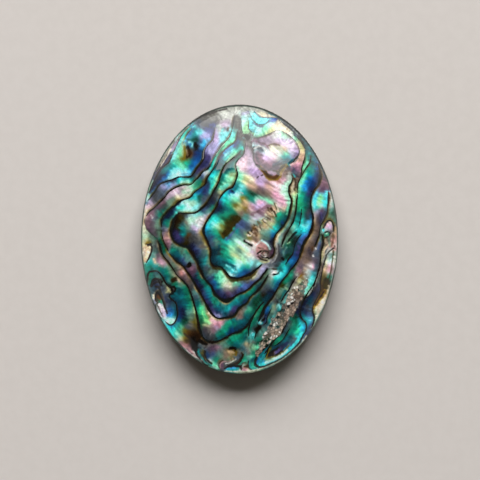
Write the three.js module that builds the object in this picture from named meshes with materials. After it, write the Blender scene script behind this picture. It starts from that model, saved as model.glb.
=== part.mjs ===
// A polished oval cabochon of abalone shell: one piece cut from the thick, pearly part of the shell, ground to a
// flat back, a low upright girdle and a dome, and polished all over. Millimetres, +Z up. It lies on its flat back,
// with the long axis along Y and the origin at the middle of the back.
import * as THREE from "three";

const LENGTH = 30; // along Y
const WIDTH = 22; // along X
const HEIGHT = 6; // back to crown
const BACK_BEVEL = 0.4; // the small bevel that takes the sharp edge off the back
const BEVEL_RISE = 0.45;
const GIRDLE_TOP = 1.35; // where the upright girdle turns into the dome
const DOME_STEPS = 18; // facets from the girdle to the crown
const ROUND_STEPS = 112; // facets round the oval

// Half the lengthwise section, from the middle of the back round to the crown. The dome is a quarter of an ellipse,
// so it leaves the girdle upright and is level at the crown.
function halfSection() {
  const reach = LENGTH / 2;
  const rise = HEIGHT - GIRDLE_TOP;
  const points = [
    new THREE.Vector2(0, 0),
    new THREE.Vector2(reach - BACK_BEVEL, 0),
    new THREE.Vector2(reach, BEVEL_RISE),
  ];
  for (let step = 0; step < DOME_STEPS; step++) {
    const turn = (Math.PI / 2) * (step / DOME_STEPS);
    points.push(new THREE.Vector2(reach * Math.cos(turn), GIRDLE_TOP + rise * Math.sin(turn)));
  }
  points.push(new THREE.Vector2(0, HEIGHT));
  return points;
}

// The section is turned into a round stone about Y, stood up along Z, and drawn in across its width to the oval.
function ovalCabochon() {
  const geometry = new THREE.LatheGeometry(halfSection(), ROUND_STEPS);
  geometry.rotateX(Math.PI / 2);
  geometry.scale(WIDTH / LENGTH, 1, 1);
  return geometry;
}

const shell = new THREE.Mesh(
  ovalCabochon(),
  new THREE.MeshStandardMaterial({ color: 0x2f8f86, roughness: 0.12, metalness: 0.25 }),
);
shell.name = "abalone_cabochon";

const cabochon = new THREE.Group();
cabochon.add(shell);

export default cabochon;
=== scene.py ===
import math

import bpy
import numpy as np
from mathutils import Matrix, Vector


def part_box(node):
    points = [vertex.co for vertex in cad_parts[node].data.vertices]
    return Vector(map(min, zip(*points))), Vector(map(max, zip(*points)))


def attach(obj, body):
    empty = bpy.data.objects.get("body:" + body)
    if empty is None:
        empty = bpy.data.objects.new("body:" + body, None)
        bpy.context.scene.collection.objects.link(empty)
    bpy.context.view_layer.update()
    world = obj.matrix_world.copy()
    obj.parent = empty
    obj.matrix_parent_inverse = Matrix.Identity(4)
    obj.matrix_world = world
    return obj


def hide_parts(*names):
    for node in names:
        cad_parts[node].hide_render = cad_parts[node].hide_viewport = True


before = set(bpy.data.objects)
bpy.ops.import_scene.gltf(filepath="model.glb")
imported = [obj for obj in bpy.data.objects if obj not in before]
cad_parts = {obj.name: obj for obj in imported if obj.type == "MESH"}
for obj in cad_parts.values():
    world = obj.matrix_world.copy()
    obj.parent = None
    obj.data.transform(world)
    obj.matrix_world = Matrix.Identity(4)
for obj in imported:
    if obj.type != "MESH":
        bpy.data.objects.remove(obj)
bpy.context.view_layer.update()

# ----------------------------------------------------------------------------------------------------------
# The cabochon. It is one piece of thick abalone shell, sawn and ground to an oval with a flat back and a
# low upright girdle, then domed and polished on felt until the face is like glass. It lies loose on its
# flat back.
# ----------------------------------------------------------------------------------------------------------
MM = 0.001
stone_low, stone_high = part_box("abalone_cabochon")
HALF_WIDTH = (stone_high.x - stone_low.x) / 2 / MM
HALF_LENGTH = (stone_high.y - stone_low.y) / 2 / MM
CROWN = stone_high.z / MM
GIRDLE_TOP = 1.35
GIRDLE_FOOT = 0.45
BACK_BEVEL = 0.4
CELLS_ACROSS = 232
CELLS_ALONG = 316


def round_grid(columns, rows):
    """A square net of points drawn out to a circle: how far out each point is, 0 to 1, and its direction."""
    a, b = np.meshgrid(np.linspace(-1, 1, columns + 1), np.linspace(-1, 1, rows + 1), indexing="ij")
    across = np.abs(a) > np.abs(b)
    ring = np.where(across, a, b)
    with np.errstate(divide="ignore", invalid="ignore"):
        slant = np.where(across, b / a, a / b)
    slant = np.nan_to_num(slant) * math.pi / 4
    angle = np.where(across, slant, math.pi / 2 - slant)
    angle = angle + np.where(ring < 0, math.pi, 0)
    return np.abs(ring), angle


def dome_section(steps=400):
    """How far out the polished face has come against the length run along it from the crown, both 0 to 1."""
    turn = np.linspace(0, math.pi / 2, steps)
    out = np.sin(turn)
    height = (CROWN - GIRDLE_TOP) / HALF_LENGTH * np.cos(turn)
    run = np.concatenate([[0], np.cumsum(np.hypot(np.diff(out), np.diff(height)))])
    return out, run / run[-1]


section_out, section_run = dome_section()
face_run, face_angle = round_grid(CELLS_ACROSS, CELLS_ALONG)
face_out = np.interp(face_run, section_run, section_out)

# The net's edge is the top of the girdle. From there, rings of points go down the girdle, round the back's
# bevel and in over the flat back. Each ring has its height and its size against the oval. The first seven
# are on the girdle and the bevel, and the rest on the flat back.
columns = np.arange(CELLS_ACROSS + 1)
rows = np.arange(CELLS_ALONG + 1)
point_number = columns[:, None] * (CELLS_ALONG + 1) + rows[None, :]
edge_points = np.concatenate([
    point_number[:-1, 0],
    point_number[-1, :-1],
    point_number[:0:-1, -1],
    point_number[0, :0:-1],
])
edge_angle = face_angle.ravel()[edge_points]
bevelled = 1 - BACK_BEVEL / HALF_LENGTH
SKIN_RINGS = (
    (1.12, 1.0),
    (0.9, 1.0),
    (0.68, 1.0),
    (GIRDLE_FOOT, 1.0),
    (0.22, 1 - 0.48 * BACK_BEVEL / HALF_LENGTH),
    (0.06, 1 - 0.86 * BACK_BEVEL / HALF_LENGTH),
    (0.0, bevelled),
    (0.0, 0.96),
    (0.0, 0.8),
    (0.0, 0.6),
    (0.0, 0.4),
    (0.0, 0.2),
)
SIDE_RINGS = 7
ring_height = np.array([height for height, size in SKIN_RINGS])
ring_size = np.array([size for height, size in SKIN_RINGS])
x = np.concatenate([
    (HALF_WIDTH * face_out * np.cos(face_angle)).ravel(),
    (HALF_WIDTH * ring_size[:, None] * np.cos(edge_angle)).ravel(),
    [0.0],
])
y = np.concatenate([
    (HALF_LENGTH * face_out * np.sin(face_angle)).ravel(),
    (HALF_LENGTH * ring_size[:, None] * np.sin(edge_angle)).ravel(),
    [0.0],
])
face_height = GIRDLE_TOP + (CROWN - GIRDLE_TOP) * np.sqrt(np.clip(1 - face_out**2, 0, 1))
z = np.concatenate([face_height.ravel(), np.repeat(ring_height, len(edge_points)), [0.0]])
on_face = np.arange(len(x)) < face_out.size
on_back = np.where(on_face, 0.0, np.clip((0.3 - z) / 0.2, 0, 1))


CLOUD_CELLS = 96


def cloud(x, y, size, seed):
    """Soft random values from -1 to 1, with grains of one size in millimetres."""
    table = np.random.default_rng(seed).uniform(-1, 1, (CLOUD_CELLS, CLOUD_CELLS))
    i = np.floor(x / size).astype(int)
    j = np.floor(y / size).astype(int)
    u = x / size - i
    v = y / size - j
    u = u * u * (3 - 2 * u)
    v = v * v * (3 - 2 * v)
    i, next_i = i % CLOUD_CELLS, (i + 1) % CLOUD_CELLS
    j, next_j = j % CLOUD_CELLS, (j + 1) % CLOUD_CELLS
    near = table[i, j] * (1 - u) + table[next_i, j] * u
    far = table[i, next_j] * (1 - u) + table[next_i, next_j] * u
    return near * (1 - v) + far * v


def smooth_path(points, step=0.16):
    """A curve drawn smoothly through a few (x, y) points, as a close run of points."""
    p = np.array(points, float)
    p = np.vstack([2 * p[0] - p[1], p, 2 * p[-1] - p[-2]])
    run = []
    for a, b, c, d in zip(p[:-3], p[1:-2], p[2:-1], p[3:]):
        count = max(2, int(np.hypot(*(c - b)) / step))
        t = np.linspace(0, 1, count, endpoint=False)[:, None]
        bend = (2 * a - 5 * b + 4 * c - d) * t**2
        run.append(0.5 * (2 * b + (c - a) * t + bend + (3 * b - a - 3 * c + d) * t**3))
    run.append(p[-2:-1])
    return np.vstack(run)


def distance_to(x, y, path, reach):
    """Each point's distance to a path and which side it is on (1 left, -1 right), the way to the path and the
    length along it. Points further away than the reach keep a distance of 99."""
    near = np.full(len(x), 99.0)
    side = np.zeros(len(x))
    way_x = np.zeros(len(x))
    way_y = np.zeros(len(x))
    along = np.zeros(len(x))
    length = np.concatenate([[0], np.cumsum(np.hypot(*np.diff(path, axis=0).T))])
    for first in range(0, len(path) - 1, 8):
        piece = path[first:first + 9]
        low = piece.min(axis=0) - reach
        high = piece.max(axis=0) + reach
        some = np.nonzero((x > low[0]) & (x < high[0]) & (y > low[1]) & (y < high[1]))[0]
        for k in range(len(piece) - 1):
            dx, dy = piece[k + 1] - piece[k]
            px = x[some] - piece[k, 0]
            py = y[some] - piece[k, 1]
            t = np.clip((px * dx + py * dy) / max(dx * dx + dy * dy, 1e-9), 0, 1)
            ex = px - t * dx
            ey = py - t * dy
            d = np.hypot(ex, ey)
            closer = d < near[some]
            hit = some[closer]
            near[hit] = d[closer]
            side[hit] = np.sign(dx * py - dy * px)[closer]
            way_x[hit] = ex[closer] / np.maximum(d[closer], 1e-6)
            way_y[hit] = ey[closer] / np.maximum(d[closer], 1e-6)
            along[hit] = length[first + k] + t[closer] * math.hypot(dx, dy)
    return near, side, way_x, way_y, along, length[-1]


# The growth lines: thin dark sheets of horny shell between the pearl layers, cut through by the dome, so
# that they show as black-brown lines. Most have a thin gold or olive edge on one side. On both sides the
# pearl is painted darker towards the line, most widely on the side away from the gold edge: painted shade
# that gives the bands depth. Each has its half-width, the side of its gold edge (1 left of its run, -1
# right, 0 none), how strong that edge is, how deep its painted shade is, and the places that it passes in
# millimetres from the middle of the stone.
GROWTH_LINES = (
    (.08, -1, .5, .4, -5.25, 12.35, -5.85, 11.55, -6.05, 11.15, -6.15, 10.85),
    (.10, -1, .5, .5, -5.5, 12.6, -6.4, 11.6, -7, 10.4, -7.3, 9.5, -7.85, 8.5, -8.6, 7.9, -9.05, 7.2, -9.7,
     6, -10.1, 5.1),
    (.07, -1, .3, .4, -7, 11.2, -7.9, 9.6, -8.6, 8.5, -9.3, 7.3),
    (.12, -1, .5, .6, -2.7, 12.4, -2.8, 11.4, -3.1, 10.75, -3.6, 10.3, -3.9, 9.5, -3.97, 8.8, -4.6, 7.95,
     -5.3, 7, -5.7, 6.82, -6.7, 6.86, -7.54, 6.54, -8.8, 6.07, -9.5, 5.05, -10.2, 4.25),
    (.12, -1, .4, .3, -.5, 13.8, -.8, 12.3, -1.1, 11.35, -2.05, 10.25, -2.75, 9.1, -3.3, 8.05, -4.1, 7.35,
     -4.65, 6.7, -5.3, 6.05, -6.2, 5.95, -7.1, 5.65, -7.95, 5.05, -8.95, 3.87, -9.9, 3.15, -10.4, 2.55),
    (.07, 0, 0, .5, -10.4, 2.55, -10.52, 1.75, -10.35, 1.1, -9.9, .68, -9.4, .3, -9.1, 0),
    (.12, -1, .35, .5, -9.1, 0, -8.85, -.7, -8.5, -1.8, -7.64, -2.9, -7, -3.9, -6.2, -4.65, -5.6, -5.4,
     -5.36, -6.1, -4.94, -7.5, -4.57, -9, -4.48, -9.74, -4.29, -10.4, -3.9, -11.05, -3.09, -11.45, -2.3,
     -11.3, -1.5, -10.9, -.86, -10.5, .07, -10.2, .9, -9.55, 1.32, -8.8, 1.79, -8.07, 2.16, -7.5, 2.7,
     -6.9),
    (.12, -1, .5, .6, -.15, 12, -.5, 10.7, -1.5, 9.98, -2.15, 9.1, -2.7, 8, -3.6, 6.7, -3.78, 6.1, -4.4,
     5.6, -5.05, 5.12, -5.5, 4.6, -6.45, 4.25, -7.4, 3.5, -8, 2.95, -8.47, 2.5),
    (.16, -1, .4, .5, -7.3, 3.7, -8.1, 2.87, -8.6, 2.1, -8.66, 1.2),
    (.09, -1, .4, .4, -8.66, 1.2, -8.56, .37, -8.2, -.65, -7.85, -1.4),
    (.13, -1, .6, .6, -7.85, -1.4, -7.54, -1.9, -7, -2.4, -6.43, -2.8, -5.85, -3.45, -5.2, -4.5, -4.39,
     -5.84, -3.64, -7.24, -2.99, -8.35, -2.3, -8.78, -1.5, -8.67, -.58, -8.44, 0, -7.6, .78, -7, 1.23, -6.4,
     2.16, -5.47, 2.8, -4.65, 3.3, -3.8),
    (.13, -1, .5, .7, .35, 10, -.45, 9.1, -1.3, 8.4, -1.85, 7.5, -2.2, 6.6, -2.6, 5.7, -3.3, 4.4, -3.9, 3.6,
     -4.94, 2.9, -6.06, 2.79, -6.7, 2.83),
    (.15, -1, .6, .7, -6.7, 2.83, -7.2, 2.3, -7.45, 1.5, -7.6, .7, -7.36, 0, -6.9, -.5, -6.2, -.8, -5.7,
     -.95, -5.04, -1.86, -4.66, -2.5, -4.39, -3.3, -3.9, -4.3, -3.12, -5.15, -2.72, -5.97, -2.2, -6.52,
     -1.55, -6.84, -.95, -6.6, -.4, -6.25, .6, -5.78, 1.41, -5.1, 2.34, -4.26, 3.09, -3.15),
    (.10, -1, .4, .3, .6, 11, .6, 9.6, 0, 8.9, -.4, 8.2, -.22, 7.2, -.5, 6.25, -.8, 5.65, -1.35, 5.45, -1.9,
     4.88, -2.3, 4.2),
    (.14, -1, .9, .5, -2.3, 4.2, -2.65, 3.3, -3.09, 2.65, -3.74, 1.76, -4, 1, -3.8, .3, -3.36, -.65, -3.12,
     -1.4, -3.22, -2.3, -2.9, -2.95, -2.1, -3.1, -1.55, -3.65, -1.1, -4.15, -.6, -4.32, .2, -4.25, 1.14,
     -3.9, 1.8, -3.4, 2.53, -2.75),
    (.10, -1, .4, .4, 1.5, 11.1, 2.4, 11.3, 3.5, 11.75, 4.2, 12.07, 5, 11.83, 6, 11.12, 6.55, 10.3, 6.65,
     9.5, 6.2, 8.7, 5.5, 8.27),
    (.08, 0, 0, .3, 1.35, 10.5, 1.6, 9.4, 1.62, 8.4, 2.05, 8),
    (.07, 0, 0, .3, 4.6, 13.05, 5.4, 12.35, 6, 11.8),
    (.10, 1, .4, .4, 6.3, 11.45, 7, 10.6, 7.3, 9.7, 7.18, 8.75, 6.92, 7.85, 6.88, 7.4, 6.7, 6.9),
    (.11, 1, .4, .5, 7.93, 9.4, 7.83, 8.6, 7.3, 7.75, 7, 7.2, 6.6, 6.4, 6.42, 5.5, 6.38, 5),
    (.13, -1, .3, .6, 6.38, 5, 6.36, 4, 6.2, 3, 6.0, 2.1, 5.78, 1.58, 5.4, .93, 5.04, .28, 4.76, -.37, 4.65,
     -.9),
    (.12, 1, .7, .6, 5.72, 7.3, 5.8, 6.5, 5.4, 5.6, 5.7, 4.3, 5.6, 3.2, 5.22, 2.04, 4.39, .93, 3.85, .25,
     3.75, -.5, 3.83, -1.3, 3.55, -1.95, 3.18, -2.23),
    (.15, 1, .7, .6, 8.75, 8.3, 8.98, 7.1, 8.7, 6, 8.1, 5.1, 7.85, 4, 7.95, 3.2, 8.12, 2.3, 8.05, 1.4, 7.73,
     .46, 7.2, -.3, 6.9, -.93, 6.7, -1.67, 6.43, -2.41, 5.96, -3.06, 5.45, -3.75, 4.9, -4.35, 4.4, -5, 4.1,
     -5.6, 3.64, -6.4, 3.18, -7, 2.75, -7.65, 2.44, -8.4, 2.06, -9.2),
    (.12, 1, .6, .5, 9.9, 5.3, 9.82, 3.6, 9.6, 2.75, 9.07, 1.67, 8.9, .9, 8.7, .1, 8.2, -.9),
    (.12, -1, .2, .5, 9.1, .5, 9.26, -.19, 9.1, -1.1, 8.98, -2.23, 8.9, -3, 8.56, -4.18, 8.2, -5.05, 7.6,
     -5.95, 7.1, -6.8, 6.75, -7.7, 6.72, -8.5, 6.99, -9, 7.36, -9.35, 7.42, -10, 7.08, -10.76),
    (.12, -1, 0, .4, 9.3, 1.1, 9.62, 1.85, 10.05, 2.1, 10.4, 1.6, 10.45, .8),
    (.09, 0, 0, .3, 6.85, 3.5, 6.8, 2.6, 6.7, 1.9, 6.5, 1.3),
    (.08, 0, 0, .3, 6.2, .85, 5.75, .35, 5.5, -.2),
    (.10, 0, 0, .5, 6.9, .6, 6.45, 0, 6.1, -.8, 5.9, -1.6, 5.4, -2.3, 5, -2.85),
    (.10, 1, .3, .4, 6.43, -4.1, 5.96, -4.73, 5.5, -5.56, 5.13, -6.1, 4.76, -6.68, 4.3, -7.1),
    (.09, 0, 0, .3, 1.05, 14, 1.45, 13.2, 2.1, 12.7, 2.85, 12.8, 3.3, 13.3),
    (.08, 0, 0, .3, 1.6, 14.15, 2.5, 13.57, 3.4, 13.5, 4.2, 13.45, 4.6, 13.1),
    (.10, 0, 0, .3, 1.05, 13.2, 1.05, 12.2, 1.8, 11.7),
    (.10, 0, 0, .3, .2, 13.4, .3, 12, .5, 11.5, .8, 11.3),
    (.13, -1, 0, .3, -10.45, -.55, -10.1, -.6, -9.75, -.9, -9.85, -1.5, -10.05, -2.1, -10.4, -2.7),
    (.12, 1, 0, .5, -10.28, -5, -10.14, -3.85, -9.68, -3.55, -9, -3.62, -8.56, -4.17, -8.2, -4.8, -7.85,
     -5.2, -7.4, -5.55, -7.6, -6.1, -7.75, -6.4, -7.08, -7.1, -6.89, -7.9, -6.95, -8.7, -7.2, -9.3, -7.73,
     -9.52, -8.3, -9.2),
    (.07, 0, 0, .2, -8.3, -9.2, -8.75, -8.75, -9.1, -8.25, -9.3, -7.7, -9.3, -7.1),
    (.10, 0, 0, .5, -9.85, -5.2, -9.7, -4.6, -9.3, -4.3, -8.9, -4.5, -8.75, -4.9),
    (.13, 1, .4, .4, -9.4, -6.9, -9.3, -6.2, -9.05, -5.85, -8.75, -6.2, -8.5, -7, -8.15, -7.9),
    (.10, 0, 0, .5, -4, -12.25, -3.95, -12.9, -3.85, -13.45, -3.3, -14),
    (.09, 0, 0, .3, -4.95, -12, -4.9, -12.7, -4.4, -13.3),
    (.16, 0, 0, .4, -1.4, -14.15, -.86, -13.98, 0, -14.1, .25, -13.95),
    (.12, 0, 0, .4, 4.6, -7.2, 4.72, -7.7, 4.6, -8.3, 3.95, -8.85, 3.7, -9.2),
    (.08, 0, 0, .4, 3.5, -7.7, 3.3, -8.2, 3, -8.75, 2.95, -9.2, 2.5, -9.65),
    (.10, 0, 0, .4, 1.9, -9.5, 1.85, -10.3, 1.7, -11),
    (.10, 0, 0, .4, 1.85, -8.1, 1.45, -8.7, 1.2, -9.4, 1, -10.1, 1.05, -10.8),
    (.13, 0, 0, .4, 5.35, -9, 4.9, -9.9, 4.6, -10.5, 3.9, -11.15, 3.5, -11.6, 3.1, -12.2, 2.7, -12.7),
    (.08, 1, .5, .4, 5.6, -9.9, 5.2, -10.5, 4.85, -11.1, 4.3, -11.6, 3.8, -11.9),
    (.12, 1, .5, .5, 3.3, -12, 3, -12.7, 2.85, -13.2),
    (.14, -1, 0, .5, 2.05, -13.2, 1.8, -13.7, 1.95, -14.1, 2.6, -14.25),
    (.10, 0, 0, .4, .3, -12.9, .1, -13.5, -.25, -13.9),
    (.09, 0, 0, .4, 3.3, -3.2, 2.8, -3.7, 2.45, -4.4),
    (.09, 0, 0, .3, 9.35, .6, 9.15, 0, 9.3, -.6, 9.1, -1.2),
    (.12, 1, .5, .4, 9.6, -2, 9.3, -2.9, 9.1, -3.9, 8.95, -4.7, 9, -5.6, 8.7, -6.4, 8.2, -7.3, 8.1, -8, 8.3,
     -8.7, 8.2, -9.4, 7.9, -10),
    (.09, 0, 0, .3, 8.75, -3.5, 8.45, -4.6, 8.3, -5.2, 7.9, -6.1, 7.4, -6.5),
)
LINE_REACH = 2.2
# Places where the lines thicken or thin, mostly at a bend: x, y, reach and how many times as thick.
LINE_SWELLS = (
    (-1.6, -6.9, .6, 2.1), (-1.0, -4.3, .8, 1.7), (-2.6, -3.0, .5, 1.5), (-4.5, -9.9, .7, 1.7),
    (-3.2, -11.4, .7, 1.9), (-6.9, 2.9, .5, 1.3), (-7.4, 1.2, .8, 1.4), (-4.9, -1.7, .5, 1.5),
    (-6.1, -.8, .5, 1.5), (-3.9, .9, .35, 1.5), (-1.7, -8.75, .9, 1.4), (6.75, -8.5, .4, 1.5),
    (-4.2, -3.8, .6, 1.4), (.9, -9.6, .5, 1.4), (-8.6, 2, .5, 1.4), (-5.5, 5.9, 1.1, .5),
    (-5.8, 5.0, .6, .75), (5.5, 8.3, .4, 1.4),
)
line_ratio = np.full(len(x), 9.0)
nearest_line = np.full(len(x), 9.0)
gold_edge = np.zeros(len(x))
painted_line_shade = np.zeros(len(x))
across_x = np.zeros(len(x))
across_y = np.zeros(len(x))
line_sides = np.zeros((len(GROWTH_LINES), len(x)), np.int8)
line_x = x + 0.045 * cloud(x, y, 0.7, 3) + 0.02 * cloud(x, y, 0.25, 4)
line_y = y + 0.045 * cloud(x, y, 0.7, 5) + 0.02 * cloud(x, y, 0.25, 6)
thicker = np.ones(len(x))
for swell_x, swell_y, spread, times in LINE_SWELLS:
    thicker += (times - 1) * np.exp(-((x - swell_x) ** 2 + (y - swell_y) ** 2) / spread**2)
for number, (half_width, gold_side, gold, shade, *places) in enumerate(GROWTH_LINES):
    path = smooth_path(np.array(places).reshape(-1, 2))
    away, side, way_x, way_y, along, length = distance_to(line_x, line_y, path, LINE_REACH)
    tip = np.clip(np.minimum(along, length - along) / 0.7, 0, 1) ** 0.6
    line_sides[number] = np.where((away < LINE_REACH) & (tip > 0.25), side, 0)
    swell = (1 + 0.45 * cloud(x, y, 1.1, 30 + number)) * thicker
    width = half_width * swell * (0.32 + 0.6 * tip) * (1 - 0.45 * np.clip((y - 7) / 3, 0, 1))
    line_ratio = np.minimum(line_ratio, away / width)
    closer = away < nearest_line
    nearest_line = np.where(closer, away, nearest_line)
    across_x = np.where(closer, way_x, across_x)
    across_y = np.where(closer, way_y, across_y)
    past = away - 0.75 * width
    broken = np.clip(0.75 + 0.9 * cloud(x, y, 0.8, 8), 0, 1)
    fringe = np.exp(-((np.maximum(past, 0.06) - 0.06) / 0.11) ** 2)
    fringe = min(1, 1.5 * gold) * broken * tip * fringe * (side == gold_side)
    fringe *= 1 - 0.65 * np.clip((x - 1.2) / 1.2, 0, 1) * np.clip(-2 - y, 0, 1)
    gold_edge = np.maximum(gold_edge, fringe)
    # Painted shade beside the line: narrow on the gold side, wider on the other.
    soft = np.where(side == gold_side, 0.12, 0.36)
    painted_line_shade = np.maximum(painted_line_shade, shade * tip * np.exp(-np.maximum(past, 0) / soft))

# The pearl's colours, by the names a cutter would give them, as red, green and blue from 0 to 255.
PEARL = {
    "black": (6, 4, 3), "umber": (38, 22, 10), "brown": (84, 54, 26), "dark olive": (48, 42, 8),
    "olive": (98, 86, 24), "gold": (124, 98, 14), "tan": (184, 160, 126), "sand": (216, 192, 158),
    "cream": (234, 222, 194), "straw": (196, 198, 144), "ivory": (232, 236, 208), "white": (240, 240, 236),
    "ice": (196, 248, 246), "frost": (192, 250, 220), "pale cyan": (140, 242, 244), "cyan": (55, 226, 230),
    "turquoise": (36, 208, 190), "sky": (90, 202, 244), "azure": (45, 145, 210), "blue": (24, 98, 162),
    "deep blue": (8, 60, 112), "navy": (24, 34, 66), "indigo": (42, 50, 92), "violet": (78, 70, 124),
    "periwinkle": (88, 108, 180), "lavender": (168, 166, 210), "lilac": (186, 164, 204),
    "pale lilac": (210, 194, 222), "pink": (216, 162, 186), "pale pink": (230, 198, 210),
    "rose": (204, 138, 152), "dusky rose": (190, 142, 140), "salmon": (178, 114, 108),
    "peach": (216, 182, 156), "mauve": (124, 94, 108), "plum": (84, 60, 82), "plum grey": (76, 70, 80),
    "slate": (70, 84, 98), "slate blue": (68, 86, 130), "slate teal": (50, 88, 98), "teal": (8, 98, 108),
    "deep teal": (2, 64, 80), "sea": (16, 142, 142), "emerald": (6, 118, 98), "green": (30, 152, 120),
    "bright green": (58, 208, 150), "mint": (132, 236, 190), "lime": (140, 230, 148),
    "pale green": (160, 212, 166), "dark green": (4, 62, 46), "grey green": (98, 130, 112),
    "grey teal": (86, 134, 126), "grey": (118, 118, 114), "pale grey": (178, 182, 176),
    "mist": (212, 216, 212), "smoke": (58, 62, 66), "taupe": (114, 98, 88), "dove": (164, 150, 168),
}

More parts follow.
